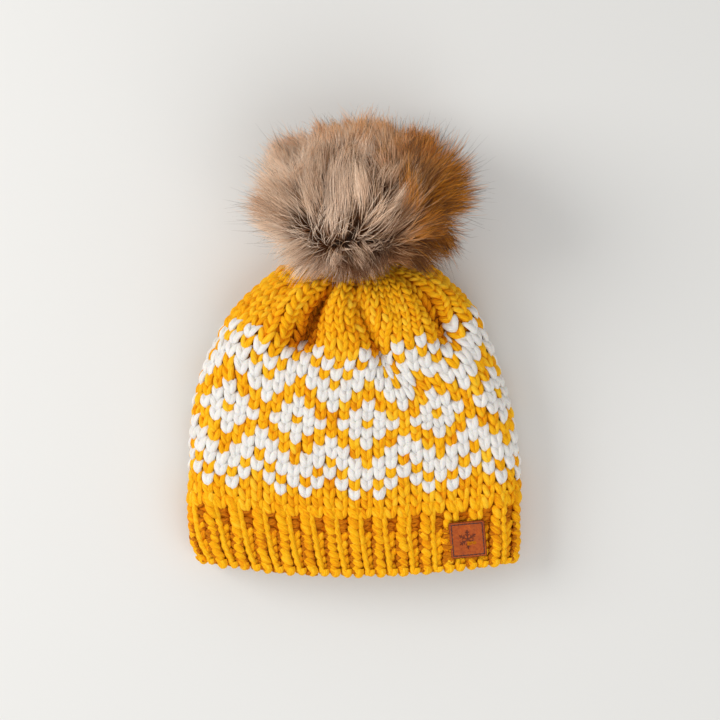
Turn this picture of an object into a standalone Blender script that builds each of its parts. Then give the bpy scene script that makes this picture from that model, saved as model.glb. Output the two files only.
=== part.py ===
"""Pom pom beanie, laid flat on its back.

Frame: origin in the middle of the flat underside that the hat rests on. +X runs across the
hat towards the side with the leather label, +Y from the head opening towards the pom pom,
+Z up out of the front face. Sizes are in millimetres; new_object turns them into metres.

The knit is described by rings. A row is a knitted row counted from the cast-on edge, and a
stitch counts round the hat from the left fold, over the front, to the right fold and back
underneath. Knit, floats, lining and threads all follow the same rings at their own depths.
"""

import math
from collections import namedtuple

import bmesh
import bpy
from mathutils import Matrix, Vector

MM = 0.001
SHARP_ANGLE = math.radians(40)

# ---------------------------------------------------------------- driving dimensions (mm)
REST_Y = 95.0            # from the head opening's edge to the origin
STITCHES = 60            # stitches in one round
LEFT_FOLD, RIGHT_FOLD = 0.0, STITCHES / 2
FRONT_CENTRE, BACK_CENTRE = STITCHES / 4, STITCHES * 3 / 4
RIB_ROWS = 7             # knit one, purl one
PATTERN_START = 9        # first two-colour row
PATTERN_ROWS = 15        # rows of the diamond band
CROWN_START = PATTERN_START + PATTERN_ROWS
GATHER_ROW = 37          # last round, drawn up on the gather cord
ROW_GAP = 0.05           # rows left free on each side of a joint between knitted parts
KNIT_HALF = 3.4          # half thickness of the knitted fabric
TAG_SIZE = 25.2          # square leather label
TAG_THICK = 1.5
TAG_X, TAG_Y = 77.5, 22.6 - REST_Y
TAG_TURN = math.radians(5.0)

# The knit's middle surface, ring by ring
Ring = namedtuple("Ring", "centre_x opening_y half_width fold_radius bulge tilt side_rise")
# row, centre x, distance from the opening's edge, half width, fold radius,
# front bulge (share of the fold radius), tilt (degrees), rise of the folds towards +Y
STATIONS = (
    (0.0, 1.7, 0.0, 110.6, 15.0, 0.28, 0.0, 9.1),
    (3.0, 0.3, 15.4, 114.8, 15.0, 0.28, 0.0, 8.4),
    (7.0, -0.7, 36.4, 115.1, 15.5, 0.28, 0.0, 9.1),
    (9.0, -0.7, 48.3, 114.8, 16.0, 0.30, 0.0, 10.5),
    (16.0, -2.4, 98.4, 110.2, 19.0, 0.38, 2.0, 12.1),
    (20.0, -3.0, 127.9, 101.8, 21.0, 0.42, 6.0, 14.0),
    (24.0, -2.4, 158.8, 86.4, 23.0, 0.42, 11.0, 15.2),
    (28.0, -0.7, 188.2, 65.0, 24.5, 0.34, 19.0, 8.7),
    (31.0, 1.4, 208.3, 41.5, 23.0, 0.22, 26.0, 2.9),
    (34.0, 3.5, 214.7, 21.5, 16.0, 0.08, 32.0, 0.9),
    (37.0, 3.5, 213.9, 8.0, 8.0, 0.0, 35.0, 0.0),
)
# row, height of the crown's underside off the table
LIFT = ((0.0, 0.0), (26.0, 0.0), (28.0, 1.2), (31.0, 8.0), (34.0, 17.0), (37.0, 26.05))
# valleys of the gathered crown: stitch, depth, half width in stitches
VALLEYS = (
    (2.6, 3.2, 1.5), (8.8, 5.6, 1.5), (14.0, 3.8, 1.1), (21.8, 5.4, 1.5), (27.4, 3.2, 1.5),
    (33.2, 3.8, 1.5), (39.4, 4.2, 1.6), (45.6, 4.2, 1.6), (51.4, 4.2, 1.6), (56.8, 3.4, 1.4),
)
VALLEY_GROW = (22.5, 30.0)   # rows over which the valleys deepen
VALLEY_FADE = (31.0, 36.5)   # rows over which they fade again
VALLEY_LOSS = 0.85           # share of the depth lost in fading
RIDGE_HEIGHT = 1.6           # how far the fabric between valleys stands out


# ---------------------------------------------------------------- the ringed surface
def smooth(start, end, value):
    """Ease from 0 at start to 1 at end."""
    share = min(1.0, max(0.0, (value - start) / (end - start)))
    return share * share * (3 - 2 * share)


def interpolate(table, row, column):
    """Monotone cubic through one column of a table whose first column is the row."""
    last = len(table) - 1
    if row <= table[0][0]:
        return table[0][column]
    if row >= table[last][0]:
        return table[last][column]

    def width(i):
        return table[i + 1][0] - table[i][0]

    def secant(i):
        return (table[i + 1][column] - table[i][column]) / width(i)

    def slope(i):
        if i == 0:
            return secant(0)
        if i == last:
            return secant(last - 1)
        before, after = secant(i - 1), secant(i)
        if before * after <= 0:
            return 0.0
        weight_before = 2 * width(i) + width(i - 1)
        weight_after = width(i) + 2 * width(i - 1)
        return (weight_before + weight_after) / (weight_before / before + weight_after / after)

    i = next(j for j in range(last) if row <= table[j + 1][0])
    t = (row - table[i][0]) / width(i)
    return ((2 * t**3 - 3 * t**2 + 1) * table[i][column]
            + (t**3 - 2 * t**2 + t) * slope(i) * width(i)
            + (-2 * t**3 + 3 * t**2) * table[i + 1][column]
            + (t**3 - t**2) * slope(i + 1) * width(i))


def ring_at(row):
    return Ring(*(interpolate(STATIONS, row, column) for column in range(1, 8)))


def stadium(stitch, half_width, fold_radius):
    """Point (x, height) on the section of a flattened tube."""
    flat = half_width - fold_radius
    quarter = math.pi * fold_radius / 2
    half_round = 2 * flat + 2 * quarter
    travel = (stitch / STITCHES % 1.0) * 2 * half_round
    front = travel <= half_round
    if not front:
        travel = 2 * half_round - travel
    if travel < quarter:
        angle = travel / fold_radius
        x, height = -flat - fold_radius * math.cos(angle), fold_radius * math.sin(angle)
    elif travel < quarter + 2 * flat:
        x, height = -flat + (travel - quarter), fold_radius
    else:
        angle = (travel - quarter - 2 * flat) / fold_radius
        x, height = flat + fold_radius * math.sin(angle), fold_radius * math.cos(angle)
    return x, height if front else -height


def place(ring, row, x, height, shift_y):
    """Point x across and height up in the ring's tilted plane, moved shift_y along +Y."""
    tilt = math.radians(ring.tilt)
    centre_z = KNIT_HALF + ring.fold_radius * math.cos(tilt) + interpolate(LIFT, row, 1)
    return Vector((ring.centre_x + x,
                   ring.opening_y - REST_Y + shift_y - height * math.sin(tilt),
                   centre_z + height * math.cos(tilt)))


def middle(stitch, row):
    """Middle surface of the knit, without the crown's valleys."""
    ring = ring_at(row)
    x, height = stadium(stitch, ring.half_width, ring.fold_radius)
    side = (x / ring.half_width) ** 2
    if height > 0:
        height *= 1 + ring.bulge * (1 - side)
    return place(ring, row, x, height, ring.side_rise * side)


def normal(stitch, row):
    """Outward normal of the middle surface."""
    step = 0.15
    round_way = middle(stitch + step, row) - middle(stitch - step, row)
    row_way = (middle(stitch, min(GATHER_ROW, row + step))
               - middle(stitch, max(0.0, row - step)))
    return round_way.cross(row_way).normalized()


def valley_depth(stitch, row):
    grow = smooth(*VALLEY_GROW, row) * (1 - VALLEY_LOSS * smooth(*VALLEY_FADE, row))
    total = 0.0
    for centre, depth, width in VALLEYS:
        gap = (stitch - centre + STITCHES / 2) % STITCHES - STITCHES / 2
        total += depth * math.exp(-((gap / width) ** 2))
    return grow * (total - RIDGE_HEIGHT)


def layer(stitch, row, depth):
    """The knit's middle surface with its valleys, moved inwards by depth."""
    return middle(stitch, row) - normal(stitch, row) * (valley_depth(stitch, row) + depth)


# ---------------------------------------------------------------- building blocks
def material(name, colour, roughness, metallic=0.0):
    result = bpy.data.materials.new(name)
    result.use_nodes = True
    shader = result.node_tree.nodes["Principled BSDF"]
    shader.inputs["Base Color"].default_value = (*colour, 1)
    shader.inputs["Roughness"].default_value = roughness
    shader.inputs["Metallic"].default_value = metallic
    result.diffuse_color = (*colour, 1)
    return result


def new_object(name, verts, faces, mat, parent=None, origin=(0, 0, 0), smooth_shade=True):
    """verts and origin are in mm, in the parent's axes when there is a parent."""
    mesh = bpy.data.meshes.new(name)
    origin = Vector(origin)
    mesh.from_pydata([tuple((Vector(vert) - origin) * MM) for vert in verts], [], faces)
    bm = bmesh.new()
    bm.from_mesh(mesh)
    bmesh.ops.recalc_face_normals(bm, faces=bm.faces)
    if bm.calc_volume(signed=True) < 0:
        bmesh.ops.reverse_faces(bm, faces=bm.faces)
    bm.to_mesh(mesh)
    bm.free()
    mesh.materials.append(mat)
    if smooth_shade:
        mesh.shade_smooth()
        mesh.set_sharp_from_angle(angle=SHARP_ANGLE)
    ob = bpy.data.objects.new(name, mesh)
    bpy.context.scene.collection.objects.link(ob)
    ob.parent = parent
    ob.location = origin * MM
    return ob


def new_frame(name):
    """Empty that carries the axes of the pieces parented to it."""
    frame = bpy.data.objects.new(name, None)
    bpy.context.scene.collection.objects.link(frame)
    return frame


def shell(name, mat, outer, inner, wrap):
    """Closed solid between two equal grids of points [row][column]."""
    rows, cols = len(outer), len(outer[0])
    verts = [point for grid in (outer, inner) for line in grid for point in line]

    def at(side, i, j):
        return side * rows * cols + i * cols + j % cols

    faces = []
    spans = range(cols if wrap else cols - 1)
    for i in range(rows - 1):
        for j in spans:
            faces.append((at(0, i, j), at(0, i, j + 1), at(0, i + 1, j + 1), at(0, i + 1, j)))
            faces.append((at(1, i, j), at(1, i + 1, j), at(1, i + 1, j + 1), at(1, i, j + 1)))
    end = rows - 1
    for j in spans:
        faces.append((at(0, 0, j), at(1, 0, j), at(1, 0, j + 1), at(0, 0, j + 1)))
        faces.append((at(0, end, j), at(0, end, j + 1), at(1, end, j + 1), at(1, end, j)))
    if not wrap:
        end = cols - 1
        for i in range(rows - 1):
            faces.append((at(0, i, 0), at(0, i + 1, 0), at(1, i + 1, 0), at(1, i, 0)))
            faces.append((at(0, i, end), at(1, i, end), at(1, i + 1, end), at(0, i + 1, end)))
    return new_object(name, verts, faces, mat)


def strand(name, mat, points, radius, sides, closed=False, parent=None):
    """A round yarn or thread along points; radius is a number or a function of 0..1."""
    count = len(points)
    points = [Vector(point) for point in points]

    def direction(i):
        if closed:
            return (points[(i + 1) % count] - points[i - 1]).normalized()
        return (points[min(i + 1, count - 1)] - points[max(i - 1, 0)]).normalized()

    verts = []
    side = first_side = direction(0).orthogonal().normalized()
    for i, point in enumerate(points):
        way = direction(i)
        side = (side - way * side.dot(way)).normalized()
        up = way.cross(side)
        size = radius(i / count) if callable(radius) else radius
        for j in range(sides):
            angle = 2 * math.pi * j / sides
            verts.append(point + side * (size * math.cos(angle)) + up * (size * math.sin(angle)))

    # a closed strand joins its ends at the nearest matching corner
    end_shift = 0
    if closed:
        way = direction(0)
        side = (side - way * side.dot(way)).normalized()
        first = (first_side - way * first_side.dot(way)).normalized()
        twist = math.atan2(way.dot(first.cross(side)), first.dot(side))
        end_shift = round(twist / (2 * math.pi / sides)) % sides

    faces = []
    for i in range(count if closed else count - 1):
        here, ahead = i * sides, (i + 1) % count * sides
        shift = end_shift if i == count - 1 else 0
        for j in range(sides):
            faces.append((here + j, here + (j + 1) % sides,
                          ahead + (j + 1 + shift) % sides, ahead + (j + shift) % sides))
    if not closed:
        faces.append(tuple(range(sides))[::-1])
        faces.append(tuple((count - 1) * sides + j for j in range(sides)))
    return new_object(name, verts, faces, mat, parent)


def circle(radius, z, count):
    angles = [2 * math.pi * i / count for i in range(count)]
    return [(radius * math.cos(angle), radius * math.sin(angle), z) for angle in angles]


def knotted(radius, bulge, at, spread):
    """Strand radius with a knot's bulge at one place, for strand's 0..1."""
    return lambda share: radius + bulge * math.exp(-(((share - at) / spread) ** 2))


def turned(name, mat, profile, segments, parent):
    """Closed solid of revolution about the parent's Z from (radius, height) points."""
    verts, rings = [], []
    for radius, z in profile:
        new = [(0, 0, z)] if radius <= 1e-6 else circle(radius, z, segments)
        rings.append(range(len(verts), len(verts) + len(new)))
        verts += new
    faces = []
    ends_on_axis = len(rings[0]) == 1 and len(rings[-1]) == 1
    for i in range(len(rings) - 1 if ends_on_axis else len(rings)):
        low, high = rings[i], rings[(i + 1) % len(rings)]
        for j in range(segments):
            k = (j + 1) % segments
            if len(low) == 1:
                faces.append((low[0], high[j], high[k]))
            elif len(high) == 1:
                faces.append((low[j], high[0], low[k]))
            else:
                faces.append((low[j], high[j], high[k], low[k]))
    return new_object(name, verts, faces, mat, parent)


def washer(name, mat, hole, radius, low, high, segments, parent):
    profile = [(hole, low), (radius, low), (radius, high), (hole, high)]
    return turned(name, mat, profile, segments, parent)


def prisms(name, loops, low, high, mat, parent):
    """One upright prism over each (x, y) loop, all in one object."""
    verts, faces = [], []
    for loop in loops:
        base, count = len(verts), len(loop)
        verts += [(x, y, z) for z in (low, high) for x, y in loop]
        faces += [tuple(range(base, base + count))[::-1],
                  tuple(range(base + count, base + 2 * count))]
        for i in range(count):
            j = (i + 1) % count
            faces.append((base + i, base + j, base + count + j, base + count + i))
    return new_object(name, verts, faces, mat, parent, smooth_shade=False)


# ---------------------------------------------------------------- clean scene, materials
for old in list(bpy.data.objects):
    bpy.data.objects.remove(old)

mustard = material("mustard_yarn", colour=(0.76, 0.37, 0.02), roughness=0.85)
ivory = material("ivory_yarn", colour=(0.86, 0.82, 0.78), roughness=0.85)
fleece = material("fleece", colour=(0.85, 0.8, 0.7), roughness=0.95)
fur = material("faux_fur", colour=(0.42, 0.31, 0.22), roughness=0.8)
backing = material("fur_backing", colour=(0.3, 0.22, 0.16), roughness=0.9)
fill = material("fibre_fill", colour=(0.9, 0.9, 0.88), roughness=0.95)
leather = material("brown_leather", colour=(0.37, 0.12, 0.03), roughness=0.5)
dark_thread = material("dark_thread", colour=(0.09, 0.02, 0.01), roughness=0.7)
pale_thread = material("pale_thread", colour=(0.8, 0.7, 0.5), roughness=0.7)
felt = material("brown_felt", colour=(0.2, 0.13, 0.09), roughness=0.95)
steel = material("snap_steel", colour=(0.62, 0.6, 0.56), roughness=0.3, metallic=1.0)
satin = material("label_satin", colour=(0.88, 0.88, 0.86), roughness=0.4)


# ---------------------------------------------------------------- knitted shell
RIB_PROUD = 1.0              # how far a knit rib stands out, and a purl rib sinks in
RIB_INNER_SHARE = 0.4        # the rib's relief on the inner face
PRESSED_HALF = 1.5           # outer half thickness of the rib under the leather label
PRESS_FADE_X = (18.0, 21.0)  # distances from the label's centre where the press fades
PRESS_FADE_Y = (14.5, 17.5)
FRONT_Z = 20                 # points lower than this are never under the label
CROWN_INNER = KNIT_HALF * 0.8
CROWN_COLUMNS = 50
FLOAT_DEPTH = 5.0            # depth of the stranded floats
FLOAT_RADIUS = 0.75
FLOAT_START = PATTERN_START + 0.4
# stitches from one fold, closer together near the folds
BODY_STITCHES = [0, 1, 2.2, 3.6, 5.4, 8, 11.5, 15, 18.5, 22, 24.6, 26.4, 27.8, 29]
FLOAT_STITCHES = [0, 1, 2.2, 3.6, 5.4, 15, 24.6, 26.4, 27.8, 29]


def tag_press(stitch, row):
    """1 where the leather label presses the ribs down, 0 elsewhere."""
    point = middle(stitch, row)
    if point.z < FRONT_Z:
        return 0.0
    return ((1 - smooth(*PRESS_FADE_X, abs(point.x - TAG_X)))
            * (1 - smooth(*PRESS_FADE_Y, abs(point.y - TAG_Y))))


def grid(columns, rows, depth):
    return [[layer(stitch, row, depth) for stitch in columns] for row in rows]


def level(points):
    """The underside rests on the table, so it is pressed flat there."""
    for line in points:
        for point in line:
            point.z = 0.0 if point.z < 0.05 else point.z
    return points


def both_halves(half):
    return half + [RIGHT_FOLD + stitch for stitch in half]


def rib_brim():
    """Knit and purl columns alternate, so the two faces are mirror corrugations."""
    outer, inner = [], []
    for row in (0.0, 1.1, 6.0, RIB_ROWS - ROW_GAP):
        outer_line, inner_line = [], []
        for j in range(STITCHES):
            stitch = j + 0.5
            wave = RIB_PROUD if j % 2 == 0 else -RIB_PROUD
            press = tag_press(stitch, row)
            proud = (KNIT_HALF + wave) * (1 - press) + PRESSED_HALF * press
            outer_line.append(layer(stitch, row, -proud))
            inner_line.append(layer(stitch, row, KNIT_HALF - wave * RIB_INNER_SHARE))
        outer.append(outer_line)
        inner.append(inner_line)
    shell("rib_brim", mustard, level(outer), inner, wrap=True)


def knit_body():
    columns = both_halves(BODY_STITCHES)
    rows = [RIB_ROWS + ROW_GAP, 9.5, 12.5, 15.5, 18.5, 21.2, CROWN_START - ROW_GAP]
    shell("knit_body", mustard, level(grid(columns, rows, -KNIT_HALF)),
          grid(columns, rows, KNIT_HALF), wrap=True)


def crown_gather():
    """Gathered crown, with its valleys and the drawn-up hole."""
    columns = [STITCHES * (j / CROWN_COLUMNS) for j in range(CROWN_COLUMNS)]
    rows = [CROWN_START + ROW_GAP, 26.0, 28.2, 30.4, 32.6, 34.8, GATHER_ROW]
    shell("crown_gather", mustard, level(grid(columns, rows, -KNIT_HALF)),
          grid(columns, rows, CROWN_INNER), wrap=True)


def contrast_yarn():
    """Yarn behind the two-colour rows: one strand that climbs a row each round."""
    points = [layer(stitch, FLOAT_START + turn + stitch / STITCHES, FLOAT_DEPTH)
              for turn in range(PATTERN_ROWS - 1) for stitch in both_halves(FLOAT_STITCHES)]
    strand("contrast_yarn", ivory, points, FLOAT_RADIUS, sides=3)


rib_brim()
knit_body()
crown_gather()
contrast_yarn()

# ---------------------------------------------------------------- fleece lining
LINING_MID = 8.5         # depth of the fleece below the knit's middle surface
LINING_HALF = 1.1
CROWN_CLEAR = 7.0        # extra depth of the fleece under the crown
TOP = 28.4               # the lining closes above this row
CLOSE_LENGTH = 7.0       # how far the closing part reaches beyond the top row
CLOSE_NARROW = 0.3       # share of the width lost in closing
CLOSED_HALF = LINING_HALF + 0.25
PANEL_ROWS = [0.9, 6.0, 11.0, 16.0, 20.5, 24.0, 26.4, TOP, TOP + 0.45, TOP + 0.95]
SEAM_GAP = 0.22          # stitches from the fold to a panel's edge
PANEL_STITCHES = [SEAM_GAP, 1.2, 3.0, 5.5, 10.2, 15.0, 19.8, 24.5, 27.0, 28.8,
                  RIGHT_FOLD - SEAM_GAP]
HEM_WAVES = 20
HEM_ROW, HEM_SWING, HEM_DEPTH = 2.2, 0.45, 5.9
SEAM_ROWS = [3.4, 7, 11, 15, 19, 22, 25, TOP]
SEAM_OUT = LINING_HALF + 0.85      # seam thread outside the lining's middle
SEAM_TOP_OUT = LINING_HALF + 1.1


def lining(stitch, row, shift):
    """Lining surface, shift outwards from its middle. Past TOP it closes to a seam."""
    ring_row = min(row, TOP)
    ring = ring_at(ring_row)
    clear = LINING_MID + CROWN_CLEAR * smooth(20.5, 27.0, ring_row)
    half_width = ring.half_width - clear + shift
    x, height = stadium(stitch, half_width, ring.fold_radius - clear + shift)
    side = min(1.0, (x / half_width) ** 2)
    # the front face keeps its own depth, so the crown's valleys stay clear of the fleece
    if height > 0:
        height += (ring.bulge * ring.fold_radius * (1 - side)
                   * (1 - 0.25 * smooth(20, 28, ring_row)))
    shift_y = ring.side_rise * side
    if row > TOP:
        angle = (row - TOP) * math.pi / 2
        still_open = math.cos(angle)
        x *= 1 - CLOSE_NARROW * (1 - still_open)
        if abs(height) > 1e-6:
            middle_height = abs(abs(height) - shift)
            closing = CLOSED_HALF + (middle_height - CLOSED_HALF) * still_open
            closing += shift * min(1.0, abs(height) / 3)
            height = math.copysign(1, height) * closing
        shift_y += CLOSE_LENGTH * math.sin(angle)
    return place(ring, ring_row, x, height, shift_y)


def lining_panel(name, start):
    outer, inner = ([[lining(start + stitch, row, shift) for stitch in PANEL_STITCHES]
                     for row in PANEL_ROWS] for shift in (LINING_HALF, -LINING_HALF))
    shell(name, fleece, outer, inner, wrap=False)


def lining_hem_thread():
    """Whips the lining's lower edge to the inside of the rib."""
    count = HEM_WAVES * 3
    points = [layer(STITCHES * i / count, HEM_ROW + HEM_SWING * (0, 1, -1)[i % 3], HEM_DEPTH)
              for i in range(count)]
    strand("lining_hem_thread", pale_thread, points, 0.42, sides=3, closed=True)


def lining_seam_thread():
    """Joins the two panels up one fold, over the top and down the other."""
    def up_fold(fold):
        return ([lining(fold, row, SEAM_OUT) for row in SEAM_ROWS]
                + [lining(fold, TOP + 0.6, SEAM_TOP_OUT)])

    left, right = (lining(stitch, PANEL_ROWS[-1], 0) for stitch in (2.0, 28.0))
    over = [left.lerp(right, share) + Vector((0, 2.3, -0.9)) for share in (0.12, 0.5, 0.88)]
    points = up_fold(LEFT_FOLD) + over + up_fold(RIGHT_FOLD)[::-1]
    strand("lining_seam_thread", pale_thread, points, 0.4, sides=4)


lining_panel("lining_front_panel", LEFT_FOLD)
lining_panel("lining_back_panel", RIGHT_FOLD)
lining_hem_thread()
lining_seam_thread()

# ---------------------------------------------------------------- gather and snap
GATHER_TILT = math.radians(35.0)   # the gathered crown faces up by this angle

# local Z of this empty is the snap axis, which leans up out of the crown
axis = new_frame("snap_axis")
axis.location = middle(LEFT_FOLD, GATHER_ROW).lerp(middle(RIGHT_FOLD, GATHER_ROW), 0.5) * MM
axis.rotation_mode = "QUATERNION"
snap_way = Vector((0, math.cos(GATHER_TILT), math.sin(GATHER_TILT)))
axis.rotation_quaternion = snap_way.to_track_quat("Z", "X")
bpy.context.view_layer.update()

# yarn drawn through the last round; the bulge is its knot
strand("gather_cord", mustard, circle(6.1, 0.0, 18),
       knotted(radius=1.05, bulge=0.45, at=0.6, spread=0.05), sides=5, closed=True, parent=axis)

# discs that clamp the gathered fabric
washer("crown_inner_disc", felt, hole=2.3, radius=11.0, low=-5.6, high=-4.2,
       segments=18, parent=axis)
washer("crown_outer_disc", felt, hole=2.3, radius=12.0, low=4.2, high=5.6,
       segments=18, parent=axis)

# snap profiles: radius, height along the snap axis
RIVET = [(0, -7.0), (4.6, -7.0), (5.0, -6.7), (5.0, -6.0), (1.6, -6.0), (1.6, 6.75),
         (2.0, 6.9), (2.0, 7.3), (0, 7.3)]
SOCKET = [(1.8, 5.9), (6.0, 5.9), (6.2, 6.2), (6.2, 8.7), (5.7, 9.3), (2.3, 9.3), (2.3, 9.0),
          (3.05, 9.0), (3.05, 8.0), (2.3, 8.0), (2.3, 6.6), (1.8, 6.6)]
STUD = [(0, 7.5), (1.3, 7.6), (1.9, 8.2), (1.55, 8.85), (1.55, 9.6), (5.7, 9.6), (6.0, 9.9),
        (6.0, 10.6), (0, 10.6)]
CAP = [(0, 10.9), (1.3, 10.9), (1.3, 13.1), (5.6, 13.1), (6.0, 13.4), (6.0, 14.1), (0, 14.3)]
turned("socket_rivet", steel, RIVET, 14, axis)
turned("snap_socket", steel, SOCKET, 16, axis)
turned("snap_stud", steel, STUD, 16, axis)
turned("stud_cap", steel, CAP, 14, axis)

# open spring ring in the socket's groove
SPRING_RADIUS, SPRING_Z, SPRING_STEPS = 2.38, 8.5, 16
SPRING_START, SPRING_SWEEP = 12, 336   # degrees
spring_angles = [math.radians(SPRING_START + SPRING_SWEEP * i / SPRING_STEPS)
                 for i in range(SPRING_STEPS + 1)]
strand("snap_spring", steel,
       [(SPRING_RADIUS * math.cos(angle), SPRING_RADIUS * math.sin(angle), SPRING_Z)
        for angle in spring_angles], 0.3, sides=5, parent=axis)

# ---------------------------------------------------------------- pom pom
POM_CENTRE = 52.0        # from the gather to the ball's centre, along the snap axis
POM_PILE = (68.0, 53.0)  # pile half sizes: across the axis, along the axis
POM_SKIN = (46.0, 34.0)  # backing cloth half sizes
PILE_BASE = 11.2         # height of the pile's flat underside
PILE_MOUTH = 22.2        # radius of the opening round the base disc


def oval(size, shift, start, end, count):
    """Points (radius, height) of the ball's section, from angle start to end off the pole."""
    angles = [math.radians(start + (end - start) * i / (count - 1)) for i in range(count)]
    return [(max(0.0, (size[0] + shift) * math.sin(angle)),
             POM_CENTRE + (size[1] + shift) * math.cos(angle)) for angle in angles]


def pom_backing_cloth():
    """The fur's backing cloth, drawn in to a neck at the base."""
    neck = [(8.6, 17.6), (7.4, 16.4), (7.2, 14.8), (6.2, 14.8), (6.4, 16.6), (7.4, 17.9)]
    profile = oval(POM_SKIN, 0, 0, 160, 8) + neck + oval(POM_SKIN, -1.2, 160, 0, 8)
    turned("pom_backing_cloth", backing, profile, 16, axis)


def pom_pile():
    """One soft ball round the cloth, open below for the disc."""
    skirt = math.degrees(math.acos((PILE_BASE - POM_CENTRE) / POM_PILE[1]))
    lip = math.degrees(math.pi - math.asin(PILE_MOUTH / (POM_SKIN[0] + 0.5)))
    profile = (oval(POM_PILE, 0, 0, skirt, 11) + [(PILE_MOUTH, PILE_BASE)]
               + oval(POM_SKIN, 2.2, lip, 0, 7))
    turned("pom_pile", fur, profile, 24, axis)


washer("pom_base_disc", felt, hole=1.7, radius=21.0, low=10.9, high=12.8,
       segments=20, parent=axis)
turned("pom_stuffing", fill, oval(POM_SKIN, -2.4, 0, 180, 9), 16, axis)
pom_backing_cloth()
strand("pom_draw_thread", dark_thread, circle(8.35, 15.7, 16),
       knotted(radius=0.5, bulge=0.5, at=0.4, spread=0.06), sides=5, closed=True, parent=axis)
pom_pile()

# ---------------------------------------------------------------- leather label
TAG_LIFT = 2.4                # label's underside above the knit's middle surface
TAG_NEAR_Z = 36               # rough height used to find the knit under the label
HALF, CORNER = TAG_SIZE / 2, 1.6
HOLE_INSET, HOLES_PER_SIDE, HOLE_RADIUS = 1.7, 8, 0.62
HOLE_OVERCUT = 0.6            # the needle cutters pass both faces by this much
STAR_REACH, STAR_ARM_HALF, STAR_WAIST = 6.4, 0.55, 1.15
STAR_DEPTH, STAR_OVERCUT = 0.4, 1.0


def label_frame():
    """Frame on the knit under the label: X across it, Z out of the front face."""
    target = Vector((TAG_X, TAG_Y, TAG_NEAR_Z))
    _, stitch, row = min(((middle(i / 4, j / 4) - target).length, i / 4, j / 4)
                         for i in range(60, 112) for j in range(4, 28))
    up = normal(stitch, row)
    across = Vector((math.cos(TAG_TURN), math.sin(TAG_TURN), 0))
    across = (across - up * across.dot(up)).normalized()
    turn = Matrix((across, up.cross(across), up)).transposed().to_4x4()
    frame = new_frame("label_frame")
    frame.matrix_world = Matrix.Translation((middle(stitch, row) + up * TAG_LIFT) * MM) @ turn
    bpy.context.view_layer.update()
    return frame


def leather_tag():
    outline = []
    for side_x, side_y, start in ((1, 1, 0), (-1, 1, 90), (-1, -1, 180), (1, -1, 270)):
        for step in range(4):
            angle = math.radians(start + 30 * step)
            outline.append((side_x * (HALF - CORNER) + CORNER * math.cos(angle),
                            side_y * (HALF - CORNER) + CORNER * math.sin(angle)))
    return prisms("leather_tag", [outline], 0.0, TAG_THICK, leather, tag_frame)


def hole_centres():
    """Needle holes along the four sides, set in from the edge."""
    x = HALF - HOLE_INSET
    centres = []
    for side in range(4):
        cos, sin = math.cos(math.radians(90 * side)), math.sin(math.radians(90 * side))
        for i in range(HOLES_PER_SIDE):
            y = -x + 2 * x / HOLES_PER_SIDE * i
            centres.append((x * cos - y * sin, x * sin + y * cos))
    return centres


def needle_cutter(holes):
    corners = [math.radians(90 * j + 45) for j in range(4)]
    loops = [[(x + HOLE_RADIUS * math.cos(angle), y + HOLE_RADIUS * math.sin(angle))
              for angle in corners] for x, y in holes]
    return prisms("needle_cutter", loops, -HOLE_OVERCUT, TAG_THICK + HOLE_OVERCUT,
                  leather, tag_frame)


def motif_cutter():
    """Pressed motif: a plain six-armed snow star."""
    star = []
    for arm in range(6):
        angle = math.radians(60 * arm + 90)
        cos, sin = math.cos(angle), math.sin(angle)
        for offset in (-STAR_ARM_HALF, STAR_ARM_HALF):
            star.append((STAR_REACH * cos - offset * sin, STAR_REACH * sin + offset * cos))
        between = angle + math.radians(30)
        star.append((STAR_WAIST * math.cos(between), STAR_WAIST * math.sin(between)))
    return prisms("motif_cutter", [star], TAG_THICK - STAR_DEPTH, TAG_THICK + STAR_OVERCUT,
                  leather, tag_frame)


def cut(body, cutter):
    cutter.hide_render = True
    cutter.display_type = "WIRE"
    modifier = body.modifiers.new(cutter.name, "BOOLEAN")
    modifier.operation = "DIFFERENCE"
    modifier.object = cutter


def tag_thread(holes):
    """Lock stitch: over the leather between holes, dipping into each hole."""
    points = []
    for i, (x, y) in enumerate(holes):
        next_x, next_y = holes[(i + 1) % len(holes)]
        points.append((x, y, TAG_THICK + 0.1))
        for share in (0.24, 0.76):
            points.append((x + (next_x - x) * share, y + (next_y - y) * share,
                           TAG_THICK + 0.44))
    strand("tag_thread", dark_thread, points, 0.26, sides=3, closed=True, parent=tag_frame)


tag_frame = label_frame()
tag = leather_tag()
tag_holes = hole_centres()
cut(tag, needle_cutter(tag_holes))
cut(tag, motif_cutter())
tag_thread(tag_holes)

# ---------------------------------------------------------------- care label inside
LABEL_WIDTH, LABEL_LENGTH, LABEL_THICK = 22.0, 26.0, 0.8
LABEL_X, LABEL_Y = -34.0, 32.0 - REST_Y
LABEL_NOSE = 0.6         # length of the pointed edge at the +Y end
LABEL_FLOOR = lining(BACK_CENTRE, 12.0, -LINING_HALF).z + 0.9
TACK_WIDTH, TACK_STEPS = 18, 8


def care_label():
    end, top = LABEL_Y + LABEL_LENGTH, LABEL_FLOOR + LABEL_THICK
    half_z = LABEL_FLOOR + LABEL_THICK / 2
    profile = [(LABEL_Y, LABEL_FLOOR), (end - LABEL_NOSE, LABEL_FLOOR), (end, half_z),
               (end - LABEL_NOSE, top), (LABEL_Y, top)]
    count = len(profile)
    verts = [(LABEL_X + side * LABEL_WIDTH / 2, y, z) for side in (-1, 1) for y, z in profile]
    faces = [tuple(range(count)), tuple(range(count, 2 * count))[::-1]]
    faces += [(i, count + i, count + (i + 1) % count, (i + 1) % count) for i in range(count)]
    new_object("care_label", verts, faces, satin, origin=(LABEL_X, LABEL_Y, half_z),
               smooth_shade=False)


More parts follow.
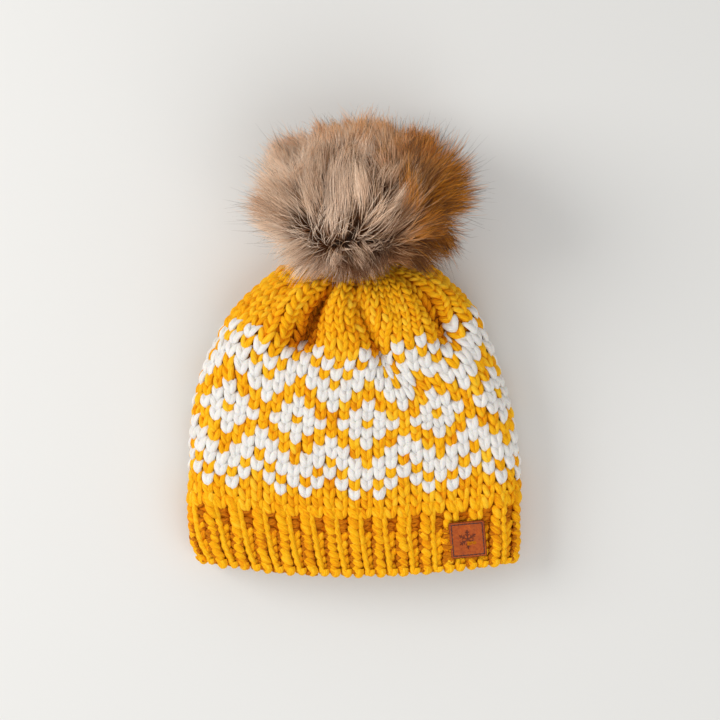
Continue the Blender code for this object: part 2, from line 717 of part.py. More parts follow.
def label_tack_thread():
    """Tack that holds the label's edge to the back panel."""
    points = [(LABEL_X - TACK_WIDTH / 2 + TACK_WIDTH * i / TACK_STEPS, LABEL_Y - 1.1,
               LABEL_FLOOR - 0.15 + 0.3 * (i % 2)) for i in range(TACK_STEPS + 1)]
    strand("label_tack_thread", pale_thread, points, 0.3, sides=4)


care_label()
label_tack_thread()
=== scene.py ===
"""Pom pom beanie with knitted yarn, fleece lining, labels and a snap-on faux fur pom pom.

The hat lies flat on the table (z = 0) with its front facing up (+z). The brim is towards -y,
the crown and the pom pom towards +y. Shapes are worked out in mm; meshes are stored in metres.
The knit is a surface addressed by column (0 to 60, from the -x fold over the front to the
+x fold and back underneath) and by row (0 at the brim edge, 37 where the crown is gathered).
"""

import math

import bpy
import numpy as np
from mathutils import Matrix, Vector


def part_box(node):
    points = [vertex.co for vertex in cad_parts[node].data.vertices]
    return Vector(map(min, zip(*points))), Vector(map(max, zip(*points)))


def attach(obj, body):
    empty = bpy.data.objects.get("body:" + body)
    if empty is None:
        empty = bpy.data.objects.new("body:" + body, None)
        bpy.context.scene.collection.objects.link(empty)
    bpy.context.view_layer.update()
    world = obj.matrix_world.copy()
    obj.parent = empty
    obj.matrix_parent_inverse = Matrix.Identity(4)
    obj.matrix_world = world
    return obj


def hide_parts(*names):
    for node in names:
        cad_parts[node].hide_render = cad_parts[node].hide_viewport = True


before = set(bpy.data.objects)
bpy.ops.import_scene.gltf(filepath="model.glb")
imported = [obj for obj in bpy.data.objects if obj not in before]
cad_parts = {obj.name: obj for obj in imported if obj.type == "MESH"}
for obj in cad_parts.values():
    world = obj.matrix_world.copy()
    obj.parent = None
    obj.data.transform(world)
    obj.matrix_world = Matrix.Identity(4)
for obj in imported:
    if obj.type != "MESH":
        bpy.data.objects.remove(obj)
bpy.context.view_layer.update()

MM = 0.001
rng = np.random.default_rng(7)            # shared: the order of its draws shapes the yarn

# ------------------------------------------------------------------ knit surface
STITCHES = 60
HALF_ROUND = STITCHES // 2                # columns on the front, and on the back
REST_Y = 95.0                             # the brim edge lies at y = -REST_Y
KNIT_HALF = 3.4                           # half the fabric's thickness
SUB = 8                                   # grid steps per stitch and per row
ROW_LOW, ROW_HIGH = -1.0, 37.5
GRID_COLS = np.arange(STITCHES * SUB) / SUB
GRID_ROWS = np.arange(int((ROW_HIGH - ROW_LOW) * SUB) + 1) / SUB + ROW_LOW

# row, centre x, distance from the edge, half width, fold radius, front crown, tilt, side rise
STATIONS = (
    (0.0, 1.7, 0.0, 110.6, 15.0, 0.28, 0.0, 9.1),
    (3.0, 0.3, 15.4, 114.4, 15.0, 0.28, 0.0, 8.4),
    (7.0, -0.7, 36.4, 114.9, 15.5, 0.28, 0.0, 9.1),
    (9.0, -0.7, 48.3, 114.6, 16.0, 0.30, 0.0, 10.5),
    (16.0, -2.4, 98.4, 110.0, 19.0, 0.38, 2.0, 12.1),
    (20.0, -3.0, 127.9, 101.6, 21.0, 0.42, 6.0, 14.0),
    (24.0, -2.4, 158.8, 87.4, 23.0, 0.42, 11.0, 15.2),
    (28.0, -0.7, 187.2, 68.0, 24.0, 0.34, 19.0, 8.7),
    (31.0, 1.4, 205.3, 50.0, 22.5, 0.22, 26.0, 2.9),
    (34.0, 3.5, 213.7, 26.0, 16.0, 0.08, 32.0, 0.9),
    (37.0, 3.5, 213.9, 8.0, 8.0, 0.0, 35.0, 0.0),
)
# row, height of the ring off the table
LIFT = ((0.0, 0.0), (26.0, 0.0), (28.0, 1.2), (31.0, 8.0), (34.0, 17.0), (37.0, 26.05))
# pleats of the crown: column, drift per row, first row, rows to form, stitches taken in,
# half width, depth, how far the lobe beside it hangs over it
PLEATS = (
    (4.6, 0.0, 25.5, 4.0, 0.4, 1.2, 3.5, 0.0), (9.1, 0.02, 23.0, 3.0, 1.2, 1.75, 20.0, -1.5),
    (18.7, -0.36, 21.6, 4.0, 1.2, 1.35, 13.0, 3.0), (25.2, -0.05, 22.4, 3.6, 1.0, 1.4, 13.0, 1.5),
    (34.0, 0.0, 23.5, 3.5, 0.8, 1.4, 8.0, 0.0), (39.6, 0.1, 22.0, 4.5, 1.1, 1.6, 11.0, 1.0),
    (45.4, -0.1, 22.0, 4.5, 1.1, 1.7, 11.0, -1.5), (51.0, 0.0, 22.0, 4.5, 1.1, 1.6, 10.0, 0.0),
    (56.0, 0.0, 23.5, 3.5, 0.7, 1.3, 7.0, 0.0),
)
# unevenness of the fabric: waves in a round, phase per row, height, phase
WAVES = ((3, 0.21, 0.5, 0.3), (5, -0.33, 0.45, 1.9), (9, 0.55, 0.3, 4.0), (14, -0.8, 0.18, 2.2))
# where the fabric pulls stitches off an even net, by row: column, stitches aside, rows up
SHIFTS = {
    9: ((2.9, -0.38, 0.76), (4.9, -0.24, 1.21), (8.9, -0.11, 0.81), (10.9, -0.05, 0.71),
        (14.9, 0.08, 0.56), (16.9, 0.22, 0.66), (20.9, 0.43, 1.01), (22.9, 0.41, 1.06),
        (26.9, 0.62, 1.06)),
    14: ((3.9, 0.30, 1.22), (9.9, 0.27, 1.02), (15.9, 0.31, 0.67), (21.9, 0.57, 1.27),
         (27.9, 0.31, 1.82)),
    18: ((6.9, 0.59, 0.73), (12.9, 0.40, 0.38), (18.9, 0.75, 0.23), (24.9, 0.40, 1.43)),
    23: ((2.9, -0.68, 0.69), (4.9, -0.93, 1.49), (8.9, 0.04, 0.99), (10.9, 0.41, 0.44),
         (14.9, 1.00, 0.39), (20.9, -0.80, 0.69), (22.9, -0.88, 1.34), (26.9, -0.37, 1.84)),
    22: ((7.9, 0.66, 0.73), (11.9, 0.48, 0.48), (13.9, 0.70, 0.58)),
    12: ((0.0, 0.0, 0.9), (30.0, 0.2, 1.2)),
    20: ((0.0, 0.0, 0.9), (30.0, 0.2, 1.4)),
    29: ((3.0, -0.5, 0.5), (9.0, -0.3, 0.5), (15.0, 0.0, 0.2), (21.0, -0.4, 0.4),
         (27.0, 0.0, 0.8)),
}


def smooth(start, end, value):
    """Eased step from 0 at start to 1 at end."""
    share = np.clip((value - start) / (end - start), 0, 1)
    return share * share * (3 - 2 * share)


def unit(vectors):
    return vectors / np.maximum(np.linalg.norm(vectors, axis=-1, keepdims=True), 1e-9)


def curve(table, at, column):
    """Monotone cubic through one column of a table, straight beyond its ends."""
    xs = np.array([entry[0] for entry in table])
    ys = np.array([entry[column] for entry in table])
    gap = np.diff(xs)
    rise = np.diff(ys) / gap
    slope = np.zeros(len(xs))
    slope[0], slope[-1] = rise[0], rise[-1]
    for i in range(1, len(xs) - 1):
        if rise[i - 1] * rise[i] > 0:
            before, after = 2 * gap[i] + gap[i - 1], gap[i] + 2 * gap[i - 1]
            slope[i] = (before + after) / (before / rise[i - 1] + after / rise[i])
    at = np.asarray(at, float)
    i = np.clip(np.searchsorted(xs, at) - 1, 0, len(xs) - 2)
    share = (at - xs[i]) / gap[i]
    t = np.clip(share, 0, 1)
    inside = ((2 * t**3 - 3 * t**2 + 1) * ys[i] + (t**3 - 2 * t**2 + t) * slope[i] * gap[i]
              + (-2 * t**3 + 3 * t**2) * ys[i + 1] + (t**3 - t**2) * slope[i + 1] * gap[i])
    below = np.where(share < 0, share * gap[i] * slope[0], 0)
    above = np.where(share > 1, (share - 1) * gap[i] * slope[-1], 0)
    return inside + below + above


def rings(row):
    """The seven station values at a row, and the ring's lift."""
    return [curve(STATIONS, row, column) for column in range(1, 8)] + [curve(LIFT, row, 1)]


def stadium_at(share, half_width, radius):
    """Point (x, depth) of a flattened tube at a share of its way round, over the front first."""
    flat, quarter = half_width - radius, math.pi * radius / 2
    half = 2 * flat + 2 * quarter
    run = (share % 1.0) * 2 * half
    front = run <= half
    run = np.where(front, run, 2 * half - run)
    first = np.clip(run / radius, 0, math.pi / 2)
    last = np.clip((run - quarter - 2 * flat) / radius, 0, math.pi / 2)
    on_first, on_flat = run < quarter, run < quarter + 2 * flat
    x = np.where(on_first, -flat - radius * np.cos(first),
                 np.where(on_flat, -flat + (run - quarter), flat + radius * np.sin(last)))
    depth = np.where(on_first, radius * np.sin(first),
                     np.where(on_flat, radius, radius * np.cos(last)))
    return x, np.where(front, depth, -depth)


def tilted(x, y, depth, radius, tilt, lift):
    """Points at a depth off the middle plane of rings that lean back by tilt degrees."""
    angle = np.radians(tilt)
    middle = KNIT_HALF + radius * np.cos(angle) + lift
    return np.stack([x, y - depth * np.sin(angle), middle + depth * np.cos(angle)], axis=-1)


def surface_frame(points):
    """Outward normals and directions round the tube."""
    around = np.roll(points, -1, axis=1) - np.roll(points, 1, axis=1)
    return unit(np.cross(around, np.gradient(points, axis=0))), unit(around)


def pleat_fields(col, row):
    """Stitch density, fold depth, sideways lean and bulge that the pleats make."""
    density = np.ones((len(GRID_ROWS), len(GRID_COLS)))
    depth, aside, bulge = (np.zeros_like(density) for _ in range(3))
    for start, drift_by, first, grow, taken_in, half_width, fold, lean in PLEATS:
        centre = start + drift_by * (row - first)
        taken = taken_in * smooth(first, first + grow, row) * (1 + 0.45 * smooth(28.0, 31.0, row))
        width = np.maximum(half_width, taken / (1.77 * 0.86))
        squeeze = np.minimum(0.86, taken / (1.77 * width))
        gap = (col - centre + HALF_ROUND) % STITCHES - HALF_ROUND
        density -= squeeze * np.exp(-((gap / width) ** 2))
        fall = smooth(first - 0.6, first + grow * 0.8, row)
        bell = np.exp(-np.abs(gap / width) ** 2.4)
        depth += fold * fall * bell * (1 - 0.75 * smooth(31.0, 36.0, row))
        lobe = np.exp(-(((gap - width * 0.9) / 1.5) ** 2))
        aside -= lean * fall * lobe * (1 - smooth(30, 34, row))
        lobes = sum(np.exp(-(((gap + way * width * 1.9) / 1.6) ** 2)) for way in (-1, 1))
        bulge += 0.32 * fold * fall * lobes
    return np.maximum(density, 0.1), depth, aside, bulge


def build_surface():
    """Grids of points, normals and pleat depth over the whole knit."""
    row, col = GRID_ROWS[:, None], GRID_COLS[None, :]
    centre_x, from_edge, half_width, radius, crown, tilt, rise, lift = rings(row)
    density, depth, aside, bulge = pleat_fields(col, row)
    run = np.cumsum(density, axis=1)
    run = np.concatenate([np.zeros((len(GRID_ROWS), 1)), run], axis=1)
    share = run[:, :-1] / run[:, -1:]
    # keep the folds at the sides: stitch 0 and stitch 30 stay on them
    mid = share[:, HALF_ROUND * SUB][:, None]
    share = np.where(col < HALF_ROUND, share / mid * 0.5, 0.5 + (share - mid) / (1 - mid) * 0.5)
    x, off = stadium_at(share, half_width, radius)
    edge = (x / half_width) ** 2
    off = np.where(off > 0, off * (1 + crown * (1 - edge)), off)
    base = tilted(centre_x + x, from_edge - REST_Y + rise * edge, off, radius, tilt, lift)
    normals, around = surface_frame(base)
    uneven = np.zeros_like(density)
    for waves, per_row, height, phase in WAVES:
        uneven += height * np.sin(2 * math.pi * waves * col / STITCHES + per_row * row + phase)
    uneven *= smooth(-1, 4, row) * np.where(base[:, :, 2] > 9, 1.0, 0.15)
    bulge *= 1 - smooth(30.0, 35.0, row)
    points = base + normals * (uneven - depth + bulge)[:, :, None] + around * aside[:, :, None]
    points[:, :, 2] = np.maximum(points[:, :, 2], 3.2)       # the back rests on the table
    return points, surface_frame(points)[0], depth[..., None]


def look_up(grid, cols, rows):
    """Reads a surface grid between its points."""
    at_col = (np.asarray(cols) % STITCHES) * SUB
    at_row = np.clip((np.asarray(rows) - ROW_LOW) * SUB, 0, len(GRID_ROWS) - 1.001)
    i, j = np.floor(at_row).astype(int), np.floor(at_col).astype(int)
    part_row, part_col = (at_row - i)[..., None], (at_col - j)[..., None]
    j = j % len(GRID_COLS)
    after = (j + 1) % len(GRID_COLS)
    return ((grid[i, j] * (1 - part_col) + grid[i, after] * part_col) * (1 - part_row)
            + (grid[i + 1, j] * (1 - part_col) + grid[i + 1, after] * part_col) * part_row)


def shift_stitches(grids):
    """Slides stitches along the surface by SHIFTS, fading on the back, the rib and the top."""
    shifts = [(at, row, *move) for row, entries in SHIFTS.items() for at, *move in entries]
    around = range(0, STITCHES, 4)
    shifts += [(at, row, 0.0, 0.0) for row in (-1.0, 1.5, 34.0, 37.0) for at in around]
    shifts += [(at, 5.0, 0.0, 0.3) for at in around]
    shifts += [(at, row, 0.0, 0.3) for row in (9, 13, 17, 21, 25, 29)
               for at in (36, 40, 44, 48, 52, 56)]
    col, row = np.meshgrid(GRID_COLS, GRID_ROWS)
    total = np.full(col.shape, 1e-12)
    aside, higher = np.zeros(col.shape), np.zeros(col.shape)
    for at_col, at_row, by_col, by_row in shifts:
        gap = (col - at_col + HALF_ROUND) % STITCHES - HALF_ROUND
        weight = np.exp(-((gap / 2.4) ** 2) - ((row - at_row) / 2.6) ** 2)
        total += weight
        aside += weight * by_col
        higher += weight * by_row
    return [look_up(grid, col + aside / total, row + higher / total) for grid in grids]


SURFACE, NORMALS, PLEAT_DEPTH = shift_stitches(build_surface())


def on_knit(cols, rows, height):
    """Points at a height above the fabric's middle surface, and the normals there."""
    normals = unit(look_up(NORMALS, cols, rows))
    return look_up(SURFACE, cols, rows) + normals * np.asarray(height)[..., None], normals


def painted_pleat_shade(cols, rows):
    """Painted shade: how much darker the yarn's colour is made down in the pleats, where it hardly
    gets light.
    """
    return -0.28 * smooth(3.0, 15.0, look_up(PLEAT_DEPTH, cols, rows)[..., 0])


# ------------------------------------------------------------------ leather label's place
TAG_AT = np.array([78.373, 23.109 - REST_Y, 38.107])
TAG_X = np.array([0.994825, 0.088532, -0.049861])
TAG_Y = np.array([-0.087117, 0.99575, 0.029885])
TAG_Z = np.array([0.052295, -0.025386, 0.998309])


def on_label(x, y, z):
    """Points in the label's own frame."""
    return TAG_AT + x[..., None] * TAG_X + y[..., None] * TAG_Y + z[..., None] * TAG_Z


def under_label(verts):
    """Presses the yarn flat against the underside of the label."""
    offset = verts - TAG_AT
    x, y, z = np.abs(offset @ TAG_X), np.abs(offset @ TAG_Y), offset @ TAG_Z
    far = np.hypot(np.maximum(x - 12.4, 0), np.maximum(y - 12.4, 0))
    roof = -0.05 + 1.5 * smooth(0.3, 3.2, far) * 3.0
    excess = np.maximum(z - roof, 0) * (z > -9) * (far < 3.2)
    return verts - (excess * 0.98)[:, None] * TAG_Z


def tag_press(points):
    """1 under the leather label, 0 away from it."""
    x, y = np.abs(points[..., 0] - TAG_AT[0]), np.abs(points[..., 1] - TAG_AT[1])
    return (1 - smooth(12.5, 15.5, x)) * (1 - smooth(12.5, 15.5, y)) * (points[..., 2] > 20)


# ------------------------------------------------------------------ mesh helpers
def quad_mesh(name, verts, quads, uvs=None, tone=None, shade=None, material=None):
    """Object from verts (n,3) in mm, quads (m,4), uvs (m,4,2), tone (n,), shade (n,3)."""
    mesh = bpy.data.meshes.new(name)
    mesh.vertices.add(len(verts))
    mesh.vertices.foreach_set("co", (np.asarray(verts) * MM).astype(np.float32).ravel())
    mesh.loops.add(quads.size)
    mesh.loops.foreach_set("vertex_index", quads.astype(np.int32).ravel())
    mesh.polygons.add(len(quads))
    mesh.polygons.foreach_set("loop_start", np.arange(len(quads), dtype=np.int32) * 4)
    mesh.polygons.foreach_set("use_smooth", np.ones(len(quads), bool))
    if uvs is not None:
        layer = mesh.uv_layers.new(name="strand")
        layer.data.foreach_set("uv", uvs.astype(np.float32).ravel())
    if tone is not None:
        layer = mesh.attributes.new("tone", "FLOAT", "POINT")
        layer.data.foreach_set("value", tone.astype(np.float32))
    if shade is not None:
        layer = mesh.attributes.new("shade", "FLOAT_COLOR", "POINT")
        rgba = np.concatenate([shade, np.ones((len(shade), 1))], axis=1)
        layer.data.foreach_set("color", rgba.astype(np.float32).ravel())
    mesh.update()
    mesh.validate()
    if material:
        mesh.materials.append(material)
    ob = bpy.data.objects.new(name, mesh)
    bpy.context.scene.collection.objects.link(ob)
    return ob


def add_piece(name, mesh, material, replaces=(), body="hat", rests=True,
              under_tag=False, shade=None):
    """Adds (verts, quads, uvs, tone), the last two optional, and tells the frame about it."""
    verts, *layers = mesh
    if rests:
        verts[:, 2] = np.maximum(verts[:, 2], 0.15)          # flattened on the table
    if under_tag:
        verts = under_label(verts)
    ob = quad_mesh(name, verts, *layers, shade=shade, material=material)
    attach(ob, body)
    if replaces:
        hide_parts(*replaces)
    return ob


def tubes(paths, outward, wide, high, sides, twist=0.0, start=None):
    """Sweeps (m, n, 3) paths. wide and high are radii across and along outward.
    Returns verts, quads, uvs: u runs in cm along the strand, v once round it."""
    count, length, _ = paths.shape
    wide, high = (np.broadcast_to(radius, (count, length)) for radius in (wide, high))
    forward = unit(np.gradient(paths, axis=1))
    across = unit(np.cross(outward, forward))
    above = np.cross(forward, across)
    angle = 2 * math.pi * np.arange(sides) / sides
    verts = (paths[:, :, None, :]
             + across[:, :, None, :] * (wide[:, :, None] * np.cos(angle))[..., None]
             + above[:, :, None, :] * (high[:, :, None] * np.sin(angle))[..., None])
    steps = np.linalg.norm(np.diff(paths, axis=1), axis=2)
    run = np.concatenate([np.zeros((count, 1)), np.cumsum(steps, axis=1)], axis=1) / 10.0
    if start is None:
        start = rng.uniform(0, 50, count)
    run = run + start[:, None]
    side = np.arange(sides)[None, None, :]
    first = (np.arange(count) * length * sides)[:, None, None]
    first = first + np.arange(length - 1)[None, :, None] * sides
    here, beside = first + side, first + (side + 1) % sides
    quads = np.stack([here, beside, beside + sides, here + sides], axis=-1).reshape(-1, 4)
    near, far = (np.broadcast_to(part[:, :, None], here.shape) for part in (run[:, :-1], run[:, 1:]))
    low = side / sides
    top = low + 1 / sides
    corners = ((near, low), (near, top), (far, top), (far, low))
    uvs = np.stack([np.stack([along, turn + along * twist], -1) for along, turn in corners],
                   axis=3).reshape(-1, 4, 2)
    return verts.reshape(-1, 3), quads, uvs


def gather_parts(parts):
    """Joins (verts, quads, uvs, tone) groups into one."""
    verts, quads, uvs, tones = zip(*parts)
    offsets = np.cumsum([0] + [len(group) for group in verts[:-1]])
    quads = [group + offset for group, offset in zip(quads, offsets)]
    return tuple(np.concatenate(groups) for groups in (verts, quads, uvs, tones))


def grid_quads(rows, cols):
    i, j = np.meshgrid(np.arange(rows - 1), np.arange(cols - 1), indexing="ij")
    here = i * cols + j
    return np.stack([here, here + 1, here + 1 + cols, here + cols], axis=-1).reshape(-1, 4)


def slab(top, bottom):
    """Closes two matching grids of points into a slab."""
    rows, cols = top.shape[:2]
    size = rows * cols
    index = np.arange(size).reshape(rows, cols)
    loop = np.concatenate([index[0, :], index[1:, -1], index[-1, -2::-1], index[-2:0:-1, 0]])
    after = np.roll(loop, -1)
    rim = np.stack([after, loop, loop + size, after + size], axis=1)
    quads = grid_quads(rows, cols)
    return (np.concatenate([top.reshape(-1, 3), bottom.reshape(-1, 3)]),
            np.concatenate([quads, quads[:, ::-1] + size, rim]))


def thick_sheet(mid, half, bumps=0.0):
    """A slab round a grid of points, half as thick each side and thinner at its edge."""
    normals = unit(np.cross(np.gradient(mid, axis=1), np.gradient(mid, axis=0)))
    edge = np.ones(mid.shape[:2])
    edge[0, :] = edge[-1, :] = 0.55
    edge[:, 0] = edge[:, -1] = 0.55
    height = (half * edge)[..., None]
    bumps = np.asarray(bumps)[..., None]
    return slab(mid + normals * (height + bumps), mid - normals * (height - bumps))


# ------------------------------------------------------------------ materials
def srgb(*colour):
    """sRGB 0-255 to linear."""
    return tuple((c / 255) / 12.92 if c / 255 <= 0.04045 else ((c / 255 + 0.055) / 1.055) ** 2.4
                 for c in colour)


class Shader:
    """A material with a Principled surface, and short ways to add the nodes that feed it."""

    def __init__(self, name):
        self.material = bpy.data.materials.new(name)
        self.material.use_nodes = True
        self.tree = self.material.node_tree

    def feed(self, node, values):
        """Links the outputs among the values to a node's inputs, and sets the others."""
        for socket, value in values.items():
            if isinstance(value, bpy.types.NodeSocket):
                self.tree.links.new(value, node.inputs[socket])
            else:
                node.inputs[socket].default_value = value

    def add(self, kind, inputs=None, **settings):
        """Adds a node and returns its outputs."""
        node = self.tree.nodes.new("ShaderNode" + kind)
        for setting, value in settings.items():
            setattr(node, setting, value)
        self.feed(node, inputs or {})
        return node.outputs

    def surface(self, values):
        self.feed(self.tree.nodes["Principled BSDF"], values)
        return self.material

    def strand(self):
        return self.add("UVMap", uv_map="strand")["UV"]

    def coords(self):
        return self.add("TexCoord")["Object"]

    def stretched(self, vector, scale):
        return self.add("Mapping", {"Vector": vector, "Scale": scale})["Vector"]

    def noise(self, vector, scale, detail, roughness=0.5, distortion=0.0):
        return self.add("TexNoise", {"Vector": vector, "Scale": scale, "Detail": detail,
                                     "Roughness": roughness, "Distortion": distortion})["Fac"]

    def cells(self, vector, scale):
        return self.add("TexVoronoi", {"Vector": vector, "Scale": scale})["Distance"]

    def math(self, operation, *inputs):
        return self.add("Math", dict(enumerate(inputs)), operation=operation)["Value"]

    def ramp(self, factor, *stops):
        node = self.tree.nodes.new("ShaderNodeValToRGB")
        self.feed(node, {"Fac": factor})
        elements = node.color_ramp.elements
        while len(elements) < len(stops):
            elements.new(0.5)
        for element, (position, colour) in zip(elements, stops):
            element.position = position
            element.color = (*colour, 1)
        return node.outputs["Color"]

    def bump(self, height, strength, distance):
        return self.add("Bump", {"Height": height, "Strength": strength,
                                 "Distance": distance})["Normal"]

    def shade_times(self, colour):
        """The mesh's own colours multiplied by another colour."""
        shade = self.add("Attribute", attribute_name="shade")["Color"]
        first, second, result = 6, 7, 2                      # the colour sockets of a Mix node
        return self.add("Mix", {0: 1.0, first: shade, second: colour},
                        data_type="RGBA", blend_type="MULTIPLY")[result]


def yarn(name, dark, mid, light, sheen=0.16):
    """Soft spun yarn: fibre streaks that follow the strand, a little twist, and a nap."""
    sh = Shader(name)
    strand = sh.strand()
    streaks = sh.noise(sh.stretched(strand, (1.5, 9.0, 1.0)), scale=1.6, detail=4.0,
                       roughness=0.62, distortion=0.4)
    fibres = sh.noise(sh.stretched(strand, (6.0, 26.0, 1.0)), scale=1.4, detail=3.0,
                      roughness=0.7)
    tone = sh.add("Attribute", attribute_name="tone")["Fac"]
    # tone adds each strand's random tone and the painted shade of pleats and rib hollows to the
    # streaks; low values run to deep, a painted shade colour darker than dark
    deep = tuple(c * factor for c, factor in zip(dark, (0.36, 0.24, 0.1)))
    return sh.surface({
        "Base Color": sh.ramp(sh.math("MULTIPLY_ADD", streaks, 0.75, tone),
                              (0.06, deep), (0.34, dark), (0.52, mid), (0.8, light)),
        "Normal": sh.bump(sh.math("MULTIPLY_ADD", fibres, 0.45, streaks),
                          strength=0.55, distance=0.0012),
        "Roughness": 0.85,
        "Sheen Weight": sheen,
        "Sheen Roughness": 0.45,
        "Sheen Tint": (*light, 1),
        "Subsurface Weight": 0.12,
        "Subsurface Radius": (0.004, 0.0022, 0.001),
        "Subsurface Scale": 0.6,
        "Specular IOR Level": 0.16,
    })


def cloth(name, dark, light, scale, rough=0.95, strength=0.4, distance=0.0006, sheen=0.3):
    """Felted or brushed cloth, from object coordinates."""
    sh = Shader(name)
    coords = sh.coords()
    cloud = sh.noise(coords, scale=scale, detail=6, roughness=0.7)
    height = sh.math("MULTIPLY_ADD", sh.cells(coords, scale * 1.7), 0.5, cloud)
    return sh.surface({
        "Base Color": sh.ramp(cloud, (0.3, dark), (0.7, light)),
        "Normal": sh.bump(height, strength, distance),
        "Roughness": rough,
        "Sheen Weight": sheen,
        "Specular IOR Level": 0.2,
    })


def thread(name, dark, light):
    """Twisted sewing thread: three plies that wind round the strand nine times a cm."""
    sh = Shader(name)
    parts = sh.add("SeparateXYZ", {"Vector": sh.strand()})
    along = sh.math("MULTIPLY", parts["X"], 9.0)
    turns = sh.math("MULTIPLY_ADD", parts["Y"], 3.0, along)
    wave = sh.math("SINE", sh.math("MULTIPLY", turns, 2 * math.pi))
    plies = sh.math("MULTIPLY_ADD", wave, 0.5, 0.5)
    return sh.surface({
        "Base Color": sh.ramp(plies, (0.1, dark), (0.8, light)),
        "Normal": sh.bump(plies, strength=0.9, distance=0.0003),
        "Roughness": 0.55,
        "Sheen Weight": 0.2,
    })


def nickel():
    """Pressed nickel with a finely uneven gloss."""
    sh = Shader("nickel_pressed")
    coords = sh.coords()
    fine = sh.noise(coords, scale=900.0, detail=5.0)
    broad = sh.noise(coords, scale=140.0, detail=4.0)
    return sh.surface({
        "Base Color": sh.ramp(broad, (0.35, srgb(150, 148, 144)), (0.65, srgb(206, 204, 199))),
        "Roughness": sh.ramp(fine, (0.3, (0.22,) * 3), (0.7, (0.42,) * 3)),
        "Normal": sh.bump(fine, strength=0.12, distance=0.0001),
        "Metallic": 1.0,
    })


def fur_strands():
    """Strands coloured by the mesh, with soft blotches."""
    sh = Shader("faux_fur_strands")
    blotches = sh.ramp(sh.noise(sh.strand(), scale=3.0, detail=2.0),
                       (0.3, (0.84, 0.82, 0.80)), (0.7, (1.22, 1.18, 1.14)))
    return sh.surface({
        "Base Color": sh.shade_times(blotches),
        "Roughness": 0.5,
        "Specular IOR Level": 0.12,
        "Sheen Weight": 0.14,
        "Sheen Tint": (1.0, 0.82, 0.62, 1.0),
        "Subsurface Weight": 0.0,
    })


def satin():
    """White satin with a fine woven line."""
    sh = Shader("label_satin_weave")
    weave = sh.add("TexWave", {"Vector": sh.coords(), "Scale": 1400.0, "Distortion": 1.5})["Fac"]
    return sh.surface({
        "Base Color": sh.ramp(weave, (0.2, srgb(214, 212, 208)), (0.8, srgb(242, 241, 238))),
        "Normal": sh.bump(weave, strength=0.3, distance=0.0001),
        "Roughness": 0.35,
        "Sheen Weight": 0.3,
    })


def leather():
    """Blotched, grained leather over the mesh's own colours."""
    sh = Shader("tan_leather_grain")
    coords = sh.coords()
    blotch = sh.noise(coords, scale=260.0, detail=6.0, roughness=0.65)
    tint = sh.ramp(blotch, (0.3, (0.72, 0.66, 0.6)), (0.72, (1.2, 1.16, 1.1)))
    height = sh.math("MULTIPLY_ADD", sh.cells(coords, scale=1500.0), 0.6, blotch)
    return sh.surface({
        "Base Color": sh.shade_times(tint),
        "Normal": sh.bump(height, strength=0.45, distance=0.0004),
        "Roughness": sh.ramp(blotch, (0.3, (0.46,) * 3), (0.7, (0.62,) * 3)),
        "Specular IOR Level": 0.3,
    })


PALE = srgb(196, 188, 174), srgb(236, 230, 218)              # dark and light of the pale threads
MUSTARD = yarn("mustard_wool", srgb(226, 134, 0), srgb(250, 180, 6), srgb(255, 210, 62))
IVORY = yarn("ivory_wool", srgb(216, 210, 203), srgb(234, 230, 225), srgb(244, 242, 239),
             sheen=0.2)
# darker mustard for the sheet under the stitches: the yarn seen through the gaps, darkened as
# painted shade
GAP_SHADE_BACKING = yarn("mustard_wool_gap_shade", srgb(206, 108, 0), srgb(232, 138, 0), srgb(244, 160, 6),
               sheen=0.1)
FUR = fur_strands()
PALE_THREAD = thread("pale_thread_twist", *PALE)
DARK_THREAD = thread("maroon_thread_twist", srgb(46, 12, 10), srgb(104, 40, 28))
NICKEL = nickel()
FELT = cloth("brown_felt_pressed", srgb(74, 50, 36), srgb(120, 86, 62), scale=700,
             strength=0.6, distance=0.0008)
FLEECE = cloth("fleece_brushed", srgb(206, 200, 190), srgb(240, 236, 229), scale=520,
               strength=0.9, distance=0.0012, sheen=0.5)
SKIN_CLOTH = cloth("fur_backing_knit", srgb(54, 34, 20), srgb(84, 56, 36), scale=1500,
                   strength=0.7, distance=0.0005)
FILL = cloth("fibre_fill_loft", srgb(226, 224, 220), srgb(248, 247, 244), scale=260,
             rough=1.0, strength=1.0, distance=0.002, sheen=0.6)

# ------------------------------------------------------------------ stitches
# diamond chart: rows from the lowest up, the ivory columns of each six-stitch repeat
CHART = ((2, 4), (1, 3, 5), (0, 2, 3, 4), (1, 2, 4, 5), (0, 1, 5), (0, 3), (2, 3, 4),
         (1, 2, 4, 5), (2, 3, 4), (0, 3), (0, 1, 5), (1, 2, 4, 5), (0, 2, 3, 4), (1, 3, 5),
         (2, 4))
RIB_ROWS = 7
CHART_START = 9
CROWN_START = CHART_START + len(CHART)
CROWN_END = 36
PHASE = 0.9                               # stitch i stands at column i + PHASE
STRAND_SIDES = 10

LEG_STEPS = np.array([0.0, 0.05, 0.13, 0.24, 0.37, 0.5, 0.63, 0.76, 0.88, 1.0])
# the foot comes forward out of the stitch below, and the tip goes back under the next one
LEG_HEIGHT = np.interp(LEG_STEPS, [0.0, 0.12, 0.28, 0.5, 0.75, 0.9, 1.0],
                       [-1.2, 0.3, 1.35, 1.7, 1.0, 0.1, -0.9])
LEG_BODY = np.interp(LEG_STEPS, [0.0, 0.05, 0.13, 0.24, 0.4, 0.6, 0.76, 0.9, 1.0],
                     [0.3, 0.5, 0.7, 0.9, 1.0, 0.98, 0.84, 0.62, 0.34])
# foot column, tip column, length in rows, fatness: each plain, and its change when twisted
LEG_SHAPES = {
    -1: ((-0.04, 0.02), (-0.46, -0.04), (1.50, -0.10), (1.0, 0.10)),
    1: ((0.05, 0.14), (0.46, -0.16), (1.52, 0.18), (0.98, -0.05)),
}


def stitch_spacing(cols, rows):
    """Width of one stitch, in mm."""
    right, left = (look_up(SURFACE, cols + PHASE + by, rows + 0.5) for by in (0.25, -0.25))
    return np.linalg.norm(right - left, axis=-1) * 2


